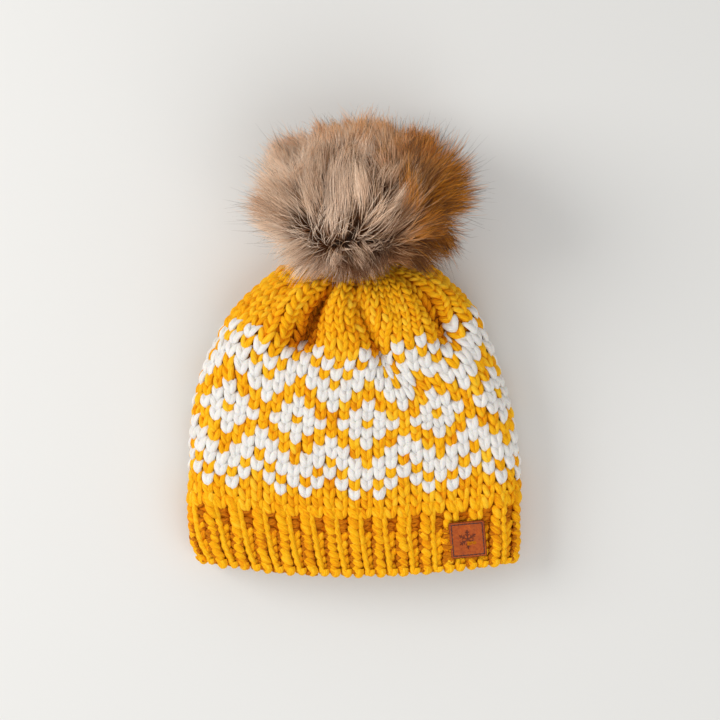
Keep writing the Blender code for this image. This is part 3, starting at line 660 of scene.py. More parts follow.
def leg(cols, rows, hand, twisted, plump, proud=0.0, flat=1.0, tones=0.06):
    """One leg of each V. hand -1 is the leg at the lower column, +1 the other. twisted 0..1
    makes the first rounder and more slanted and the second straighter and longer."""
    count = len(cols)
    foot, tip, length, fat = (plain + change * twisted for plain, change in LEG_SHAPES[hand])
    jitter = rng.normal(0, 1, (count, 8))
    steps = LEG_STEPS[None, :]
    opened = np.clip((steps - 0.18) / 0.82, 0, 1) ** 0.95
    at_col = (cols + PHASE + foot + (tip - foot) * opened + 0.035 * jitter[:, :1]
              + 0.035 * jitter[:, 5:6] * steps)
    at_row = rows - 0.30 + (length + 0.05 * jitter[:, 6:7]) * steps + 0.05 * jitter[:, 1:2]
    height = (LEG_HEIGHT + 0.25 * jitter[:, 2:3] + proud) * plump
    points, normals = on_knit(at_col, at_row, height)
    size = np.clip(stitch_spacing(cols, rows) / 8.0, 0.58, 1.04)
    frequency = rng.uniform(5, 12, (count, 1))
    phase = rng.uniform(0, 6.3, (count, 1))
    lumps = 0.045 * np.sin(steps * frequency + phase)
    radius = LEG_BODY * fat * (1 + 0.06 * jitter[:, 3:4] + lumps)
    wide = 2.16 * radius * size * plump
    high = 2.1 * radius * (0.35 + 0.65 * size) * plump * flat
    mesh = tubes(points, normals, wide, high, STRAND_SIDES, twist=0.3)
    # random tone of each leg, plus painted shade down in the pleats
    tone = (0.15 + tones * jitter[:, 4:5]).clip(-0.05, 0.35) + painted_pleat_shade(at_col, at_row)
    return *mesh, np.repeat(tone.ravel(), STRAND_SIDES)


def heart(cols, rows, proud):
    """The yarn of a stitch that lies behind its two legs and closes the V between them."""
    sides = 6
    steps = np.linspace(0, 1, 5)[None, :]
    at_col, at_row = cols + PHASE, rows + steps
    height = -0.1 + 0.35 * np.sin(math.pi * steps) + 2.15 * proud
    points, normals = on_knit(at_col, at_row, height)
    wide = 0.5 * np.clip(stitch_spacing(cols, rows), 4.0, 9.0) * np.array([0.75, 1, 1, 1, 0.75])
    mesh = tubes(points, normals, wide, 1.0, sides, twist=0.3)
    # its tone is the painted shade down in the pleats
    return *mesh, np.repeat(painted_pleat_shade(at_col, at_row).ravel(), sides)


def v_stitches(cells, twisted, **shape):
    """Stitches at (column, row) cells; twisted is one value or one per cell."""
    cols, rows = (values[:, None] for values in np.array(cells, float).T)
    twisted = np.broadcast_to(twisted, len(cells))[:, None]
    return gather_parts([leg(cols, rows, -1, twisted, **shape),
                         leg(cols, rows, 1, twisted, **shape),
                         heart(cols, rows, shape.get("proud", 0.0))])


def is_ivory(col, row):
    return CHART_START <= row < CROWN_START and col % 6 in CHART[row - CHART_START]


def add_knit(side, first_col):
    """Body, diamonds and crown of the front or the back."""
    front = side == "front"
    cells = [(col, row) for row in range(RIB_ROWS, CROWN_END)
             for col in range(first_col, first_col + HALF_ROUND)]
    ivory = [cell for cell in cells if is_ivory(*cell)]
    crown = [cell for cell in cells if cell[1] >= CROWN_START]
    body = [cell for cell in cells if cell[1] < CROWN_START and not is_ivory(*cell)]
    twisted = [0.9 if row < CHART_START else 0.35 for _, row in body]
    add_piece(f"knit_{side}_mustard", v_stitches(body, twisted, plump=0.97), MUSTARD,
              ("knit_body",), under_tag=front)
    add_piece(f"knit_{side}_ivory",
              v_stitches(ivory, 0.1, plump=1.12, proud=0.7, flat=0.68, tones=0.03), IVORY,
              ("contrast_yarn",) if front else (), under_tag=front)
    add_piece(f"crown_{side}", v_stitches(crown, 0.3, plump=0.94), MUSTARD,
              ("crown_gather",), under_tag=front)


for side, first_col in (("front", 0), ("back", HALF_ROUND)):
    add_knit(side, first_col)

# ------------------------------------------------------------------ rib: knit one, purl one
ROPE_STEPS = np.array([[0.0, 0.06, 0.17, 0.32, 0.5, 0.68, 0.83, 0.94, 1.0]])


def pressed(points, normals, depth, inside):
    """Sinks outside yarn under the label; also returns how far it is pressed, 0 to 1."""
    press = np.zeros(points.shape[:2]) if inside else tag_press(points)
    return points - normals * (press * depth)[..., None], press


def with_tone(mesh, tone):
    return *mesh, np.full(len(mesh[0]), tone)


def rib_cells(first, rows):
    """Column and row of every cell in every second column."""
    cols = np.arange(first, STITCHES, 2.0)
    return np.repeat(cols, len(rows))[:, None], np.tile(rows, len(cols))[:, None]


def rib_ropes(inside, way, first, rows_to):
    """Ropes of slanted legs."""
    cols, rows = rib_cells(first, np.arange(float(rows_to)))
    steps = ROPE_STEPS
    jitter = rng.normal(0, 1, (len(cols), 6))
    down = 1 - np.clip(rows / RIB_ROWS, 0, 1)
    at_col = (cols + PHASE - 0.02 + 0.1 * down
              + way * (0.36 - 0.72 * steps + 0.05 * jitter[:, 5:6]) + 0.03 * jitter[:, :1])
    at_row = rows - 0.36 + 1.42 * steps + 0.06 * jitter[:, 1:2]
    arch = np.sin(math.pi * steps)
    height = way * (0.2 + 1.9 * arch**0.7 - 1.1 * steps + 0.15 * jitter[:, 2:3])
    points, normals = on_knit(at_col, at_row, height)
    points, press = pressed(points, normals, 3.1, inside)
    body = np.sqrt(np.clip(1 - (2 * steps - 1) ** 2, 0, 1)) ** 0.8
    radius = np.maximum(body, 0.1) * (1 + 0.06 * jitter[:, 3:4])
    mesh = tubes(points, normals * way, 2.95 * radius, 2.7 * radius * (1 - 0.45 * press),
                 STRAND_SIDES, twist=0.3)
    return *mesh, np.repeat(0.09 + 0.04 * jitter[:, 4], steps.size * STRAND_SIDES)


def rib_strands(inside, way, first, rows_to):
    """The other leg of every rope stitch, pulled almost straight into one strand."""
    cols = np.arange(first, STITCHES, 2, dtype=float)[:, None]
    rows = np.linspace(-0.35, rows_to + 0.15, 34)[None, :]
    lean = np.interp(cols, [0, 10, 28, 34, 59], [1.0, 0.85, 0.55, 0.7, 0.9])
    down = 1 - np.clip(rows / RIB_ROWS, 0, 1)
    wiggle = 0.035 * np.sin(2 * math.pi * rows + rng.uniform(0, 6, cols.shape))
    at_col = cols + PHASE + way * (0.50 + lean * down**1.1 * 0.62) + wiggle
    beat = np.sin(2 * math.pi * (rows + rng.uniform(-0.1, 0.1, cols.shape)))
    height = way * (0.55 + 0.35 * beat + 0.1 * rng.normal(0, 1, cols.shape))
    points, normals = on_knit(at_col, rows, height)
    points, press = pressed(points, normals, 2.6, inside)
    radius = 1 + 0.09 * beat
    return with_tone(tubes(points, normals * way, 2.2 * radius,
                           2.25 * radius * (1 - 0.4 * press), STRAND_SIDES, twist=0.35), 0.16)


def purl_bumps(inside, way, first, rows_to):
    """Short bumps, two to a row, down in the hollows between the ropes; their low tone darkens them
    as painted shade.
    """
    cols, rows = rib_cells(first, np.arange(rows_to * 2) * 0.5)
    jitter = rng.normal(0, 1, (len(cols), 4))
    across = np.linspace(-1, 1, 7)[None, :]
    bow = np.where(rows % 1 == 0, 1, -1)
    at_row = rows + 0.2 - 0.3 * across**2 * bow + 0.14 * jitter[:, :1]
    near_top = 0.0 if inside else smooth(4.0, 7.0, rows)
    height = way * (-2.0 + 0.9 * (1 - across**2) + 0.3 * jitter[:, 1:2] + near_top)
    points, normals = on_knit(cols + PHASE + 0.52 * across, at_row, height)
    points, _ = pressed(points, normals, 1.2, inside)
    radius = np.maximum(np.sqrt(np.clip(1 - across**4, 0, 1)), 0.3) * (1 + 0.05 * jitter[:, 2:3])
    # tone -0.16: painted shade down in the hollows between the ropes
    return with_tone(tubes(points, normals * way, 1.95 * radius, 1.8 * radius, 6, twist=0.3),
                     -0.16)


def rib(inside):
    way, odd, rows_to = (-1.0, 1, 5) if inside else (1.0, 0, RIB_ROWS + 1)
    return gather_parts([rib_ropes(inside, way, odd, rows_to),
                         rib_strands(inside, way, odd, rows_to),
                         purl_bumps(inside, way, 1 - odd, rows_to)])


def cast_on_edge():
    """A loop of yarn turned round the brim edge at every stitch."""
    cols = np.arange(STITCHES, dtype=float)[:, None]
    jitter = rng.normal(0, 1, (STITCHES, 5))
    sweep = 0.5 * math.pi + 0.35
    angle = np.linspace(-sweep, sweep, 11)[None, :]
    knit = cols % 2 == 0
    at_col = (cols + PHASE + 0.12 + np.where(knit, 0.0, 0.05) + 0.20 * np.sin(angle)
              + 0.03 * jitter[:, :1])
    at_row = 0.22 - (0.5 + np.where(knit, 0.06, -0.04) + 0.06 * jitter[:, 1:2]) * np.cos(angle)
    height = (2.2 + np.where(knit, 0.15, -0.2)) * np.sin(angle)
    points = on_knit(at_col, at_row, height)[0]
    centre = on_knit(cols + PHASE, 0.6, 0.0)[0]
    radius = 1 + 0.05 * jitter[:, 2:3]
    return with_tone(tubes(points, points - centre, 2.5 * radius * np.where(knit, 1.05, 0.95),
                           2.0 * radius, STRAND_SIDES, twist=0.3), 0.15)


def ground_sheet(first_col):
    """Half the round of plain backing under the stitches, coloured as painted shade in the gaps
    between them.
    """
    step = 0.25
    cols, rows = np.meshgrid(np.arange(first_col, first_col + HALF_ROUND + 1e-6, step),
                             np.arange(-0.1, 36.9 + 1e-6, step))
    points = on_knit(cols, rows, -1.5)[0]
    quads = grid_quads(*cols.shape)
    uvs = np.stack([cols * 0.82, rows * 0.7], axis=-1).reshape(-1, 2)
    # tone: painted shade, made stronger here down in the pleats
    return points.reshape(-1, 3), quads, uvs[quads], (0.1 + 0.8 * painted_pleat_shade(cols, rows)).ravel()


add_piece("rib_outside", rib(inside=False), MUSTARD, ("rib_brim",),
          under_tag=True)
add_piece("rib_inside", rib(inside=True), MUSTARD)
add_piece("cast_on_edge", cast_on_edge(), MUSTARD, under_tag=True)
for side, first_col in (("front", 0), ("back", HALF_ROUND)):
    add_piece(f"knit_ground_{side}", ground_sheet(first_col), GAP_SHADE_BACKING,
              under_tag=side == "front")

# ------------------------------------------------------------------ faux fur pom pom
GATHER = np.array([3.5, 118.9, 36.003])   # where the crown is gathered, on the pom's axis
TILT = math.radians(35.0)
AXIS = np.array([0.0, math.cos(TILT), math.sin(TILT)])
UPWARD = np.array([0.0, -math.sin(TILT), math.cos(TILT)])
SIDE = np.array([1.0, 0.0, 0.0])
POM_OUT = 52.0                            # from the gather to the pom's centre
POM = GATHER + POM_OUT * AXIS
SKIN = (46.0, 34.0)                       # radii of the backing cloth, across and along AXIS
WHORL = math.radians(51.0)
PARTING = unit(UPWARD * math.cos(WHORL) - AXIS * math.sin(WHORL) + 0.06 * SIDE)


def roots(count, seed):
    """Even spread of points and outward directions over the backing cloth, and its draws."""
    draw = np.random.default_rng(seed)
    index = np.arange(count) + 0.5
    cosine = 1 - 2 * index / count
    angle = index * math.pi * (3 - math.sqrt(5)) + draw.uniform(-0.3, 0.3, count)
    keep = cosine > -0.9                                     # none where it meets the hat
    cosine, angle = cosine[keep], angle[keep]
    sine = np.sqrt(1 - cosine**2)
    across, along = SKIN
    points = np.stack([across * sine * np.cos(angle), across * sine * np.sin(angle),
                       along * cosine], axis=1)
    normals = unit(np.stack([sine * np.cos(angle) / across, sine * np.sin(angle) / across,
                             cosine / along], axis=1))
    basis = np.stack([SIDE, UPWARD, AXIS])
    return POM + points @ basis, normals @ basis, draw


def drift(points, seed, scale):
    """Slow, smooth direction noise, so the pile lies in tufts."""
    draw = np.random.default_rng(seed)
    out = np.zeros_like(points)
    for _ in range(5):
        wave = draw.normal(0, 1, 3) / scale
        push = draw.normal(0, 1, 3)
        out += np.sin(points @ wave + draw.uniform(0, 6.28))[:, None] * push
    return out / 2.5


def away(normals):
    """Direction along the surface that leads away from the whorl."""
    return (normals @ PARTING)[:, None] * normals - PARTING


def nearest(points, centres):
    """Index of the centre nearest to each point, in batches to save memory."""
    found = np.zeros(len(points), int)
    for i in range(0, len(points), 3000):
        gaps = points[i:i + 3000, None, :] - centres[None]
        found[i:i + 3000] = (gaps**2).sum(2).argmin(1)
    return found


TUFTS = roots(120, 77)[0]
TUFTS = TUFTS + np.random.default_rng(78).normal(0, 4.2, TUFTS.shape)
TUFT_LEAN = np.random.default_rng(79).normal(0, 1, (len(TUFTS), 3))
TUFT_TONE = np.random.default_rng(80).normal(0, 1, len(TUFTS))


def strand_paths(points, normals, draw, tuft, steps, length, spread, stand):
    """Strands that rise from their roots and bend away from the whorl."""
    count = len(points)
    out = away(normals)
    out = unit(out) * np.clip(np.linalg.norm(out, axis=1) * 3.0, 0, 1)[:, None]
    slow = drift(points, 11, 17.0)
    noise = draw.normal(0, 1, (count, 3))
    lean = TUFT_LEAN[tuft]
    facing = np.clip(normals[:, 2:3], 0, 1)                  # laid flatter where it faces up
    root_way = unit(normals * (1 - 0.45 * facing) + (0.20 + 0.6 * facing) * out
                    + spread * (0.13 * noise + 0.18 * lean))
    fall = np.array([0, 0, -0.10])
    tip_way = unit((stand + 0.55 * (1 - facing)) * normals + (0.35 + 0.75 * facing) * out + fall
                   + spread * (0.13 * noise + 0.24 * slow + 0.36 * lean))
    to_hat = np.clip(-(normals @ AXIS), 0, 1)
    whorl = np.clip(normals @ PARTING, 0, 1) ** 6
    size = (length * (1 + 0.11 * draw.normal(0, 1, count)) * (1 - 0.12 * to_hat)
            * (1 - 0.55 * whorl) * (1 + 0.14 * facing[:, 0]))
    size *= 1 + 0.10 * drift(points, 31, 12.0)[:, 0]
    size *= 1 - 0.42 * smooth(0.35, 1.0, normals @ AXIS)
    part = steps[None, :, None]
    ways = unit(root_way[:, None, :] * (1 - part) ** 1.5 + tip_way[:, None, :] * (0.25 + part))
    moves = ways[:, :-1] * (size / (len(steps) - 1))[:, None, None]
    paths = np.concatenate([np.zeros((count, 1, 3)), np.cumsum(moves, axis=1)], axis=1)
    return paths + (points[:, None, :] - normals[:, None, :] * 0.6)


def gather_locks(paths, points, draw, leads, strength, power, steps):
    """Leans strands towards the nearest lead strand, more towards their tips."""
    lock = nearest(points, points[leads])
    lead = leads[lock]
    lead_root = points[lead][:, None, :]
    own, lead_path = paths - points[:, None, :], paths[lead] - lead_root
    scale = (np.linalg.norm(own[:, -1], axis=1)
             / np.maximum(np.linalg.norm(lead_path[:, -1], axis=1), 1e-6))
    target = lead_path * scale[:, None, None] + lead_root
    pull = strength * draw.uniform(0.55, 1.0, len(points))[:, None, None]
    pull = pull * steps[None, :, None] ** power
    return paths * (1 - pull) + target * pull, lock


def keep_in(paths, draw):
    """Lays strands that reach the table along it, and trims the top and the far end."""
    count = len(paths)
    y, z = paths[:, :, 1], paths[:, :, 2]
    rest = 0.5 + draw.uniform(0, 3.5, (count, 1))
    z = np.where(z < rest, rest + (z - rest) * 0.03, z)
    paths[:, :, 2] = np.minimum(z, 141.0 - 4 * draw.uniform(0, 1, (count, 1)))
    paths[:, :, 1] = np.minimum(y, 236.0 - 6 * draw.uniform(0, 1, (count, 1))
                                + 0.06 * (y - 230).clip(0, 30))


def fur(name, count, seed, length, width, step_count, locks, pull, look, spread=1.0, stand=0.24):
    """One layer of pile: strands gathered into tufts, then into small locks inside them."""
    points, normals, draw = roots(count, seed)
    count = len(points)
    tuft = nearest(points, TUFTS)
    steps = np.linspace(0, 1, step_count)
    paths = strand_paths(points, normals, draw, tuft, steps, length, spread, stand)
    paths, _ = gather_locks(paths, points, draw, nearest(TUFTS, points), 0.66, 0.9, steps)
    leads = draw.choice(count, locks, replace=False)
    paths, lock = gather_locks(paths, points, draw, leads, pull, 1.1, steps)
    curl = 0.6 * draw.normal(0, 1, (count, 1, 3))
    bend = np.sin(steps * 4 + draw.uniform(0, 6, (count, 1)))[..., None]
    paths += curl * bend * steps[None, :, None]
    keep_in(paths, draw)
    radius = (width * (1 + 0.25 * draw.normal(0, 1, count).clip(-1.5, 1.5))[:, None]
              * np.interp(steps, [0, 0.25, 0.6, 1.0], [0.75, 1.0, 0.85, 0.12]))
    sides = 3
    mesh = tubes(paths, unit(normals[:, None, :] + 0.05), radius, radius, sides)
    colour = look(points, normals, steps, draw, lock, tuft)
    add_piece(name, mesh + (None,), FUR, ("pom_pile",), "pom", rests=False,
              shade=np.repeat(colour.reshape(-1, 3), sides, axis=0))


# fur colours
CREAM, TAN, GOLD, BROWN, DARK, BLACK = (
    np.array(srgb(*colour)) for colour in
    ((255, 238, 220), (255, 210, 164), (224, 146, 26), (172, 104, 40), (80, 40, 14), (26, 15, 8)))


def blend(first, second, share):
    """Colours between two, by one share for each strand."""
    return first + (second - first) * share[:, None]


def along_strands(stops, steps, count):
    """Colours along strands from (step, colours) stops."""
    out = np.zeros((count, len(steps), 3))
    places = [stop[0] for stop in stops]
    for i, step in enumerate(steps):
        j = min(max(np.searchsorted(places, step) - 1, 0), len(places) - 2)
        share = np.clip((step - places[j]) / (places[j + 1] - places[j]), 0, 1)
        out[:, i] = stops[j][1] * (1 - share) + stops[j + 1][1] * share
    return out


def zones(points, normals, lock, tuft, seed):
    """Tone of each strand, and how far it lies to -x, to +x, on the whorl and to +y. The -x and +y
    shares, towards the window light, drive painted light; the +x share drives golden fur with
    painted shade.
    """
    lock_tone = np.random.default_rng(seed).normal(0, 1, lock.max() + 1)[lock]
    here = points + 14.0 * unit(normals + away(normals)) - POM
    left = np.clip(-here[:, 0] / 50 - 0.1, 0, 1)
    right = np.clip(here[:, 0] / 44 - 0.28 + 0.06 * TUFT_TONE[tuft], 0, 1)
    top = np.clip(here[:, 1] / 40 - 0.25, 0, 1)
    crest = np.clip(normals @ PARTING, 0, 1) ** 4
    return 0.95 * TUFT_TONE[tuft] + 0.6 * lock_tone, left, right, crest, top


def long_pile(points, normals, steps, draw, lock, tuft):
    """Cream to gold strands with dark roots, and dark tips here and there; lighter towards -x and +y
    and darker towards +x, partly as painted light and shade.
    """
    count = len(points)
    tone, left, right, crest, top = zones(points, normals, lock, tuft, 5)
    chance = draw.uniform(0, 1, count)
    # body: paler towards -x and golden towards +x, partly the fur's own colours and partly painted
    # light on the lit -x side and painted shade on the +x side
    body = blend(TAN, CREAM,
                 np.clip(0.6 + 0.6 * left + 0.35 * tone - 0.7 * right - 0.1 * top, 0, 1))
    body = blend(body, GOLD, np.clip(1.05 * right + 0.12 * tone - 0.15 * top, 0, 0.96))
    # painted light: brighter towards +y and -x, the sides towards the window light
    body = body * (1 + 0.42 * top + 0.22 * left)[:, None]
    body = body * np.minimum(1.0, 0.96 / body.max(axis=1, keepdims=True))
    core = np.clip(1 - left - right - top, 0, 1)
    deep = blend(BROWN, DARK, np.clip(0.75 * core - 0.35 * tone, 0, 0.8))
    # darker towards the core and on the whorl, where dark roots show; darker towards +x as painted
    # shade; lighter towards +y and -x as painted light
    body = blend(body, deep, np.clip(
        0.10 * core - 0.50 * tone + 0.25 * (chance < 0.15) + 0.42 * right - 0.6 * top
        - 0.6 * left + 1.1 * crest, 0, 0.95))
    # dark tips, more of them towards +x: the fur's own dark tips, with painted shade on the +x side
    dark_tip = (chance < 0.13 + 0.42 * right)[:, None]
    warm = blend(body, GOLD * 1.15,
                 np.clip(0.62 * top + 0.60 * right + 0.10 * left + 0.12 * tone, 0, 0.85))
    tip = np.where(dark_tip, np.where((chance < 0.10)[:, None], BLACK, DARK), warm)
    # roots: lighter towards -x and +y as painted light
    low = blend(DARK, BROWN, np.clip(0.15 + 0.35 * tone + 0.5 * left + 0.7 * top, 0, 1.3))
    roots_part = [(0.0, low * 0.4), (0.28, low * 0.9)]
    late = along_strands(roots_part + [
        (0.47, body), (0.76, body * 1.04),
        (0.88, np.where(dark_tip, (body + tip) / 2, warm)), (1.0, tip)], steps, count)
    soon = along_strands(roots_part + [
        (0.46, body), (0.64, body * 1.04),
        (0.80, np.where(dark_tip, tip, warm)), (1.0, tip)], steps, count)
    # towards +x the tips darken sooner along the strand, as painted shade
    return np.where((right > 0.3)[:, None, None], soon, late)


def under_pile(points, normals, steps, draw, lock, tuft):
    """Short dark strands at the base."""
    tone, left, right, crest, top = zones(points, normals, lock, tuft, 9)
    # lighter towards -x and +y as painted light, darker towards +x as painted shade; darker on the
    # whorl
    low = blend(DARK, BROWN, np.clip(0.25 + 0.3 * tone + 0.3 * left + 0.4 * top, 0, 1))
    body = blend(BROWN, TAN, np.clip(
        0.35 + 0.4 * left + 0.2 * tone - 0.5 * crest + 0.5 * top - 0.3 * right, 0, 1))
    stops = [(0.0, low * 0.35), (0.6, low * 0.8), (1.0, (low + body) / 2)]
    return along_strands(stops, steps, len(points))


def guard_pile(points, normals, steps, draw, lock, tuft):
    """Sparse, long, thin strands with dark tips."""
    tip = np.where(draw.uniform(0, 1, len(points))[:, None] < 0.6, BLACK, DARK)
    stops = [(0.0, DARK), (0.35, TAN), (0.6, (TAN + DARK) / 2), (0.74, tip), (1.0, tip)]
    return along_strands(stops, steps, len(points))


# name, strands, seed, length, radius, steps, locks, lock pull, colours, spread, stand
FUR_LAYERS = ((
("fur_long_a", 6400, 101, 35.0, 0.185, 8, 520, 0.6, long_pile),
("fur_long_b", 6400, 102, 34.0, 0.185, 8, 560, 0.6, long_pile),
("fur_long_c", 6400, 103, 36.5, 0.17, 8, 500, 0.52, long_pile),
("fur_long_d", 6400, 104, 33.0, 0.185, 8, 600, 0.64, long_pile),
("fur_under", 12000, 303, 15.0, 0.24, 4, 900, 0.3, under_pile),
("fur_guard", 1300, 404, 43.0, 0.12, 8, 200, 0.3, guard_pile, 1.5, 0.6),
))
for layer in FUR_LAYERS:
    fur(*layer)


# ------------------------------------------------------------------ snap and gather
def on_axis(radius, angle, height):
    """Points at radius, angle and height in the snap's own frame."""
    radius, angle, height = np.broadcast_arrays(radius, angle, height)
    return (GATHER + (radius * np.cos(angle))[..., None] * SIDE
            + (radius * np.sin(angle))[..., None] * UPWARD + height[..., None] * AXIS)


def rounded(profile, cut):
    """A turned profile with its corners eased."""
    profile = np.array(profile, float)
    out = []
    for i, corner in enumerate(profile):
        to_last, to_next = profile[i - 1] - corner, profile[(i + 1) % len(profile)] - corner
        last, after = np.linalg.norm(to_last), np.linalg.norm(to_next)
        size = min(cut, 0.35 * last, 0.35 * after)
        if corner[0] <= 0 or size < 1e-4:
            out.append(corner)
            continue
        start, end = corner + to_last / last * size, corner + to_next / after * size
        for t in np.linspace(0, 1, 4):
            out.append((1 - t) ** 2 * start + 2 * t * (1 - t) * corner + t**2 * end)
    return np.array(out)


def turned(name, profile, material, body, replaces, segments=72, cut=0.22, wave=None):
    """A closed lathe of (radius, height) points round the snap axis."""
    profile = rounded(profile, cut)
    angle = 2 * math.pi * np.arange(segments)[None, :] / segments
    radius, height = (profile[:, i][:, None] + 0 * angle for i in (0, 1))
    radius = np.maximum(radius, 0.004)
    if wave is not None:
        radius, height = wave(radius, height, angle)
    verts = on_axis(radius, angle, height).reshape(-1, 3)
    count = len(profile)
    i, j = np.meshgrid(np.arange(count), np.arange(segments), indexing="ij")
    ring, next_ring = i * segments, (i + 1) % count * segments
    after = (j + 1) % segments
    quads = np.stack([ring + j, next_ring + j, next_ring + after, ring + after],
                     axis=-1).reshape(-1, 4)
    ob = add_piece(name, (verts, quads), material, (replaces,), body)
    split = ob.modifiers.new("edges", "EDGE_SPLIT")
    split.split_angle = math.radians(40)


def felt_wave(radius, height, angle):
    """Slight unevenness towards a felt disc's rim."""
    outer = radius > 8
    return (radius + 0.12 * np.sin(7 * angle) * outer,
            height + 0.10 * np.sin(3 * angle + 1.0) * outer)


def felt_disc(name, replaces, body, inner, outer, bottom, top, segments, cut=0.4):
    profile = [(inner, bottom), (outer, bottom), (outer, top), (inner, top)]
    turned(name, profile, FELT, body, replaces, segments, cut, felt_wave)


def cord(name, path, outward, radius, material, replaces, body="hat", sides=10, twist=0.0):
    """One strand along a path."""
    mesh = tubes(path[None], outward, radius, radius, sides, twist, start=np.zeros(1))
    add_piece(name, mesh, material, (replaces,), body)


# the four metal parts: name in the frame, body, (radius, height) profile
SNAP_PARTS = (
    ("socket_rivet", "hat", ((0, -7.0), (4.6, -7.0), (5.0, -6.7), (5.0, -6.0), (1.6, -6.0),
                             (1.6, 6.75), (2.0, 6.9), (2.0, 7.3), (0, 7.3))),
    ("snap_socket", "hat", ((1.8, 5.9), (6.0, 5.9), (6.2, 6.2), (6.2, 8.7), (5.7, 9.3),
                            (2.3, 9.3), (2.3, 9.0), (3.05, 9.0), (3.05, 8.0), (2.3, 8.0),
                            (2.3, 6.6), (1.8, 6.6))),
    ("snap_stud", "pom", ((0, 7.5), (1.3, 7.6), (1.9, 8.2), (1.55, 8.85), (1.55, 9.6),
                          (5.7, 9.6), (6.0, 9.9), (6.0, 10.6), (0, 10.6))),
    ("stud_cap", "pom", ((0, 10.9), (1.3, 10.9), (1.3, 13.1), (5.6, 13.1), (6.0, 13.4),
                         (6.0, 14.1), (0, 14.3))),
)
felt_disc("felt_disc_inside", "crown_inner_disc", "hat", 2.3, 11.0, -5.6, -4.2, 96)
felt_disc("felt_disc_outside", "crown_outer_disc", "hat", 2.3, 12.0, 4.2, 5.6, 96)
for part, body, profile in SNAP_PARTS:
    turned(part + "_nickel", profile, NICKEL, body, part)
felt_disc("pom_base_felt", "pom_base_disc", "pom", 1.7, 21.0, 10.9, 12.8, 120, cut=0.5)

ROUND = np.arange(97) / 96                # shares of a full turn, ends included
TURN = 2 * math.pi * np.arange(97) / 96


def knot(at, width):
    """A swelling at one share of the way round."""
    return np.exp(-(((ROUND - at) / width) ** 2))


open_turn = np.radians(12 + 336 * np.arange(49) / 48)
cord("snap_spring_ring", on_axis(2.38, open_turn, 8.5), AXIS, 0.3, NICKEL,
     "snap_spring", "snap_ring")
cord("gather_yarn", on_axis(6.1 + 0.25 * np.sin(9 * TURN), TURN, 0.35 * np.sin(9 * TURN + 1)),
     AXIS, 1.15 + 0.5 * knot(0.6, 0.04), MUSTARD, "gather_cord",
     sides=12, twist=1.2)
cord("draw_thread_ring",
     on_axis(8.35 + 0.1 * np.sin(20 * TURN), TURN, 15.7 + 0.12 * np.sin(20 * TURN)),
     AXIS, 0.5 + 0.45 * knot(0.4, 0.05), DARK_THREAD, "pom_draw_thread", "pom",
     sides=8)


def skin_profile(shift, start, end):
    """Profile of the pom's ball, grown by shift, between two angles from its far end."""
    angle = np.radians(np.linspace(start, end, 40))
    return np.stack([np.maximum(0.0, (SKIN[0] + shift) * np.sin(angle)),
                     POM_OUT + (SKIN[1] + shift) * np.cos(angle)], axis=1)


def bag_gathers(radius, height, angle):
    near_neck = np.exp(-((height - 17) / 6) ** 2)
    return radius * (1 + 0.035 * np.sin(26 * angle) * near_neck), height


def fill_lumps(radius, height, angle):
    return radius * (1 + 0.02 * np.sin(5 * angle + height / 6) - 0.02), height


BAG_NECK = ((8.6, 17.6), (7.4, 16.4), (7.2, 14.8), (6.2, 14.8), (6.4, 16.6), (7.4, 17.9))
bag = np.concatenate([skin_profile(0, 0, 160), BAG_NECK, skin_profile(-1.2, 160, 0)])
turned("fur_backing_bag", bag, SKIN_CLOTH, "pom", "pom_backing_cloth",
       104, 0.1, bag_gathers)
turned("fibre_filling", skin_profile(-2.6, 0, 180), FILL, "pom", "pom_stuffing",
       80, 0.1, fill_lumps)

# ------------------------------------------------------------------ fleece lining
LINING_INSET = 8.5                        # from the knit's middle to the lining's
LINING_HALF = 1.1
LINING_TOP = 28.4                         # the row where the lining starts to close
NET_CELL, NET_X, NET_Y = 3.0, -135, -110  # square size and corner of the clearance net


def lining_at(cols, rows, shift):
    """The lining's middle surface; it closes in the row above LINING_TOP."""
    row = np.minimum(rows, LINING_TOP)
    centre_x, from_edge, half_width, radius, crown, tilt, rise, lift = rings(row)
    clear = LINING_INSET + 7.0 * smooth(20.5, 27.0, row)
    inner_width, inner_radius = half_width - clear + shift, radius - clear + shift
    x, off = stadium_at(cols / STITCHES, inner_width, inner_radius)
    edge = np.minimum(1.0, (x / inner_width) ** 2)
    domed = off + crown * radius * (1 - edge) * (1 - 0.25 * smooth(20, 28, row))
    off = np.where(off > 0, domed, off)
    y = from_edge - REST_Y + rise * edge
    closing = rows > LINING_TOP
    angle = np.clip(rows - LINING_TOP, 0, 1) * math.pi / 2
    shut = np.cos(angle)
    flat = LINING_HALF + 0.25
    x = x * np.where(closing, 1 - 0.3 * (1 - shut), 1.0)
    deep = np.abs(off - np.sign(off) * shift)
    sign = np.where(off > 0, 1.0, -1.0)
    closed = (sign * (flat + (deep - flat) * shut)
              + sign * shift * np.minimum(1.0, np.abs(off) / 3))
    off = np.where(closing, closed, off)
    y = y + np.where(closing, 7.0 * np.sin(angle), 0)
    return tilted(centre_x + x, y, off, radius, tilt, lift)


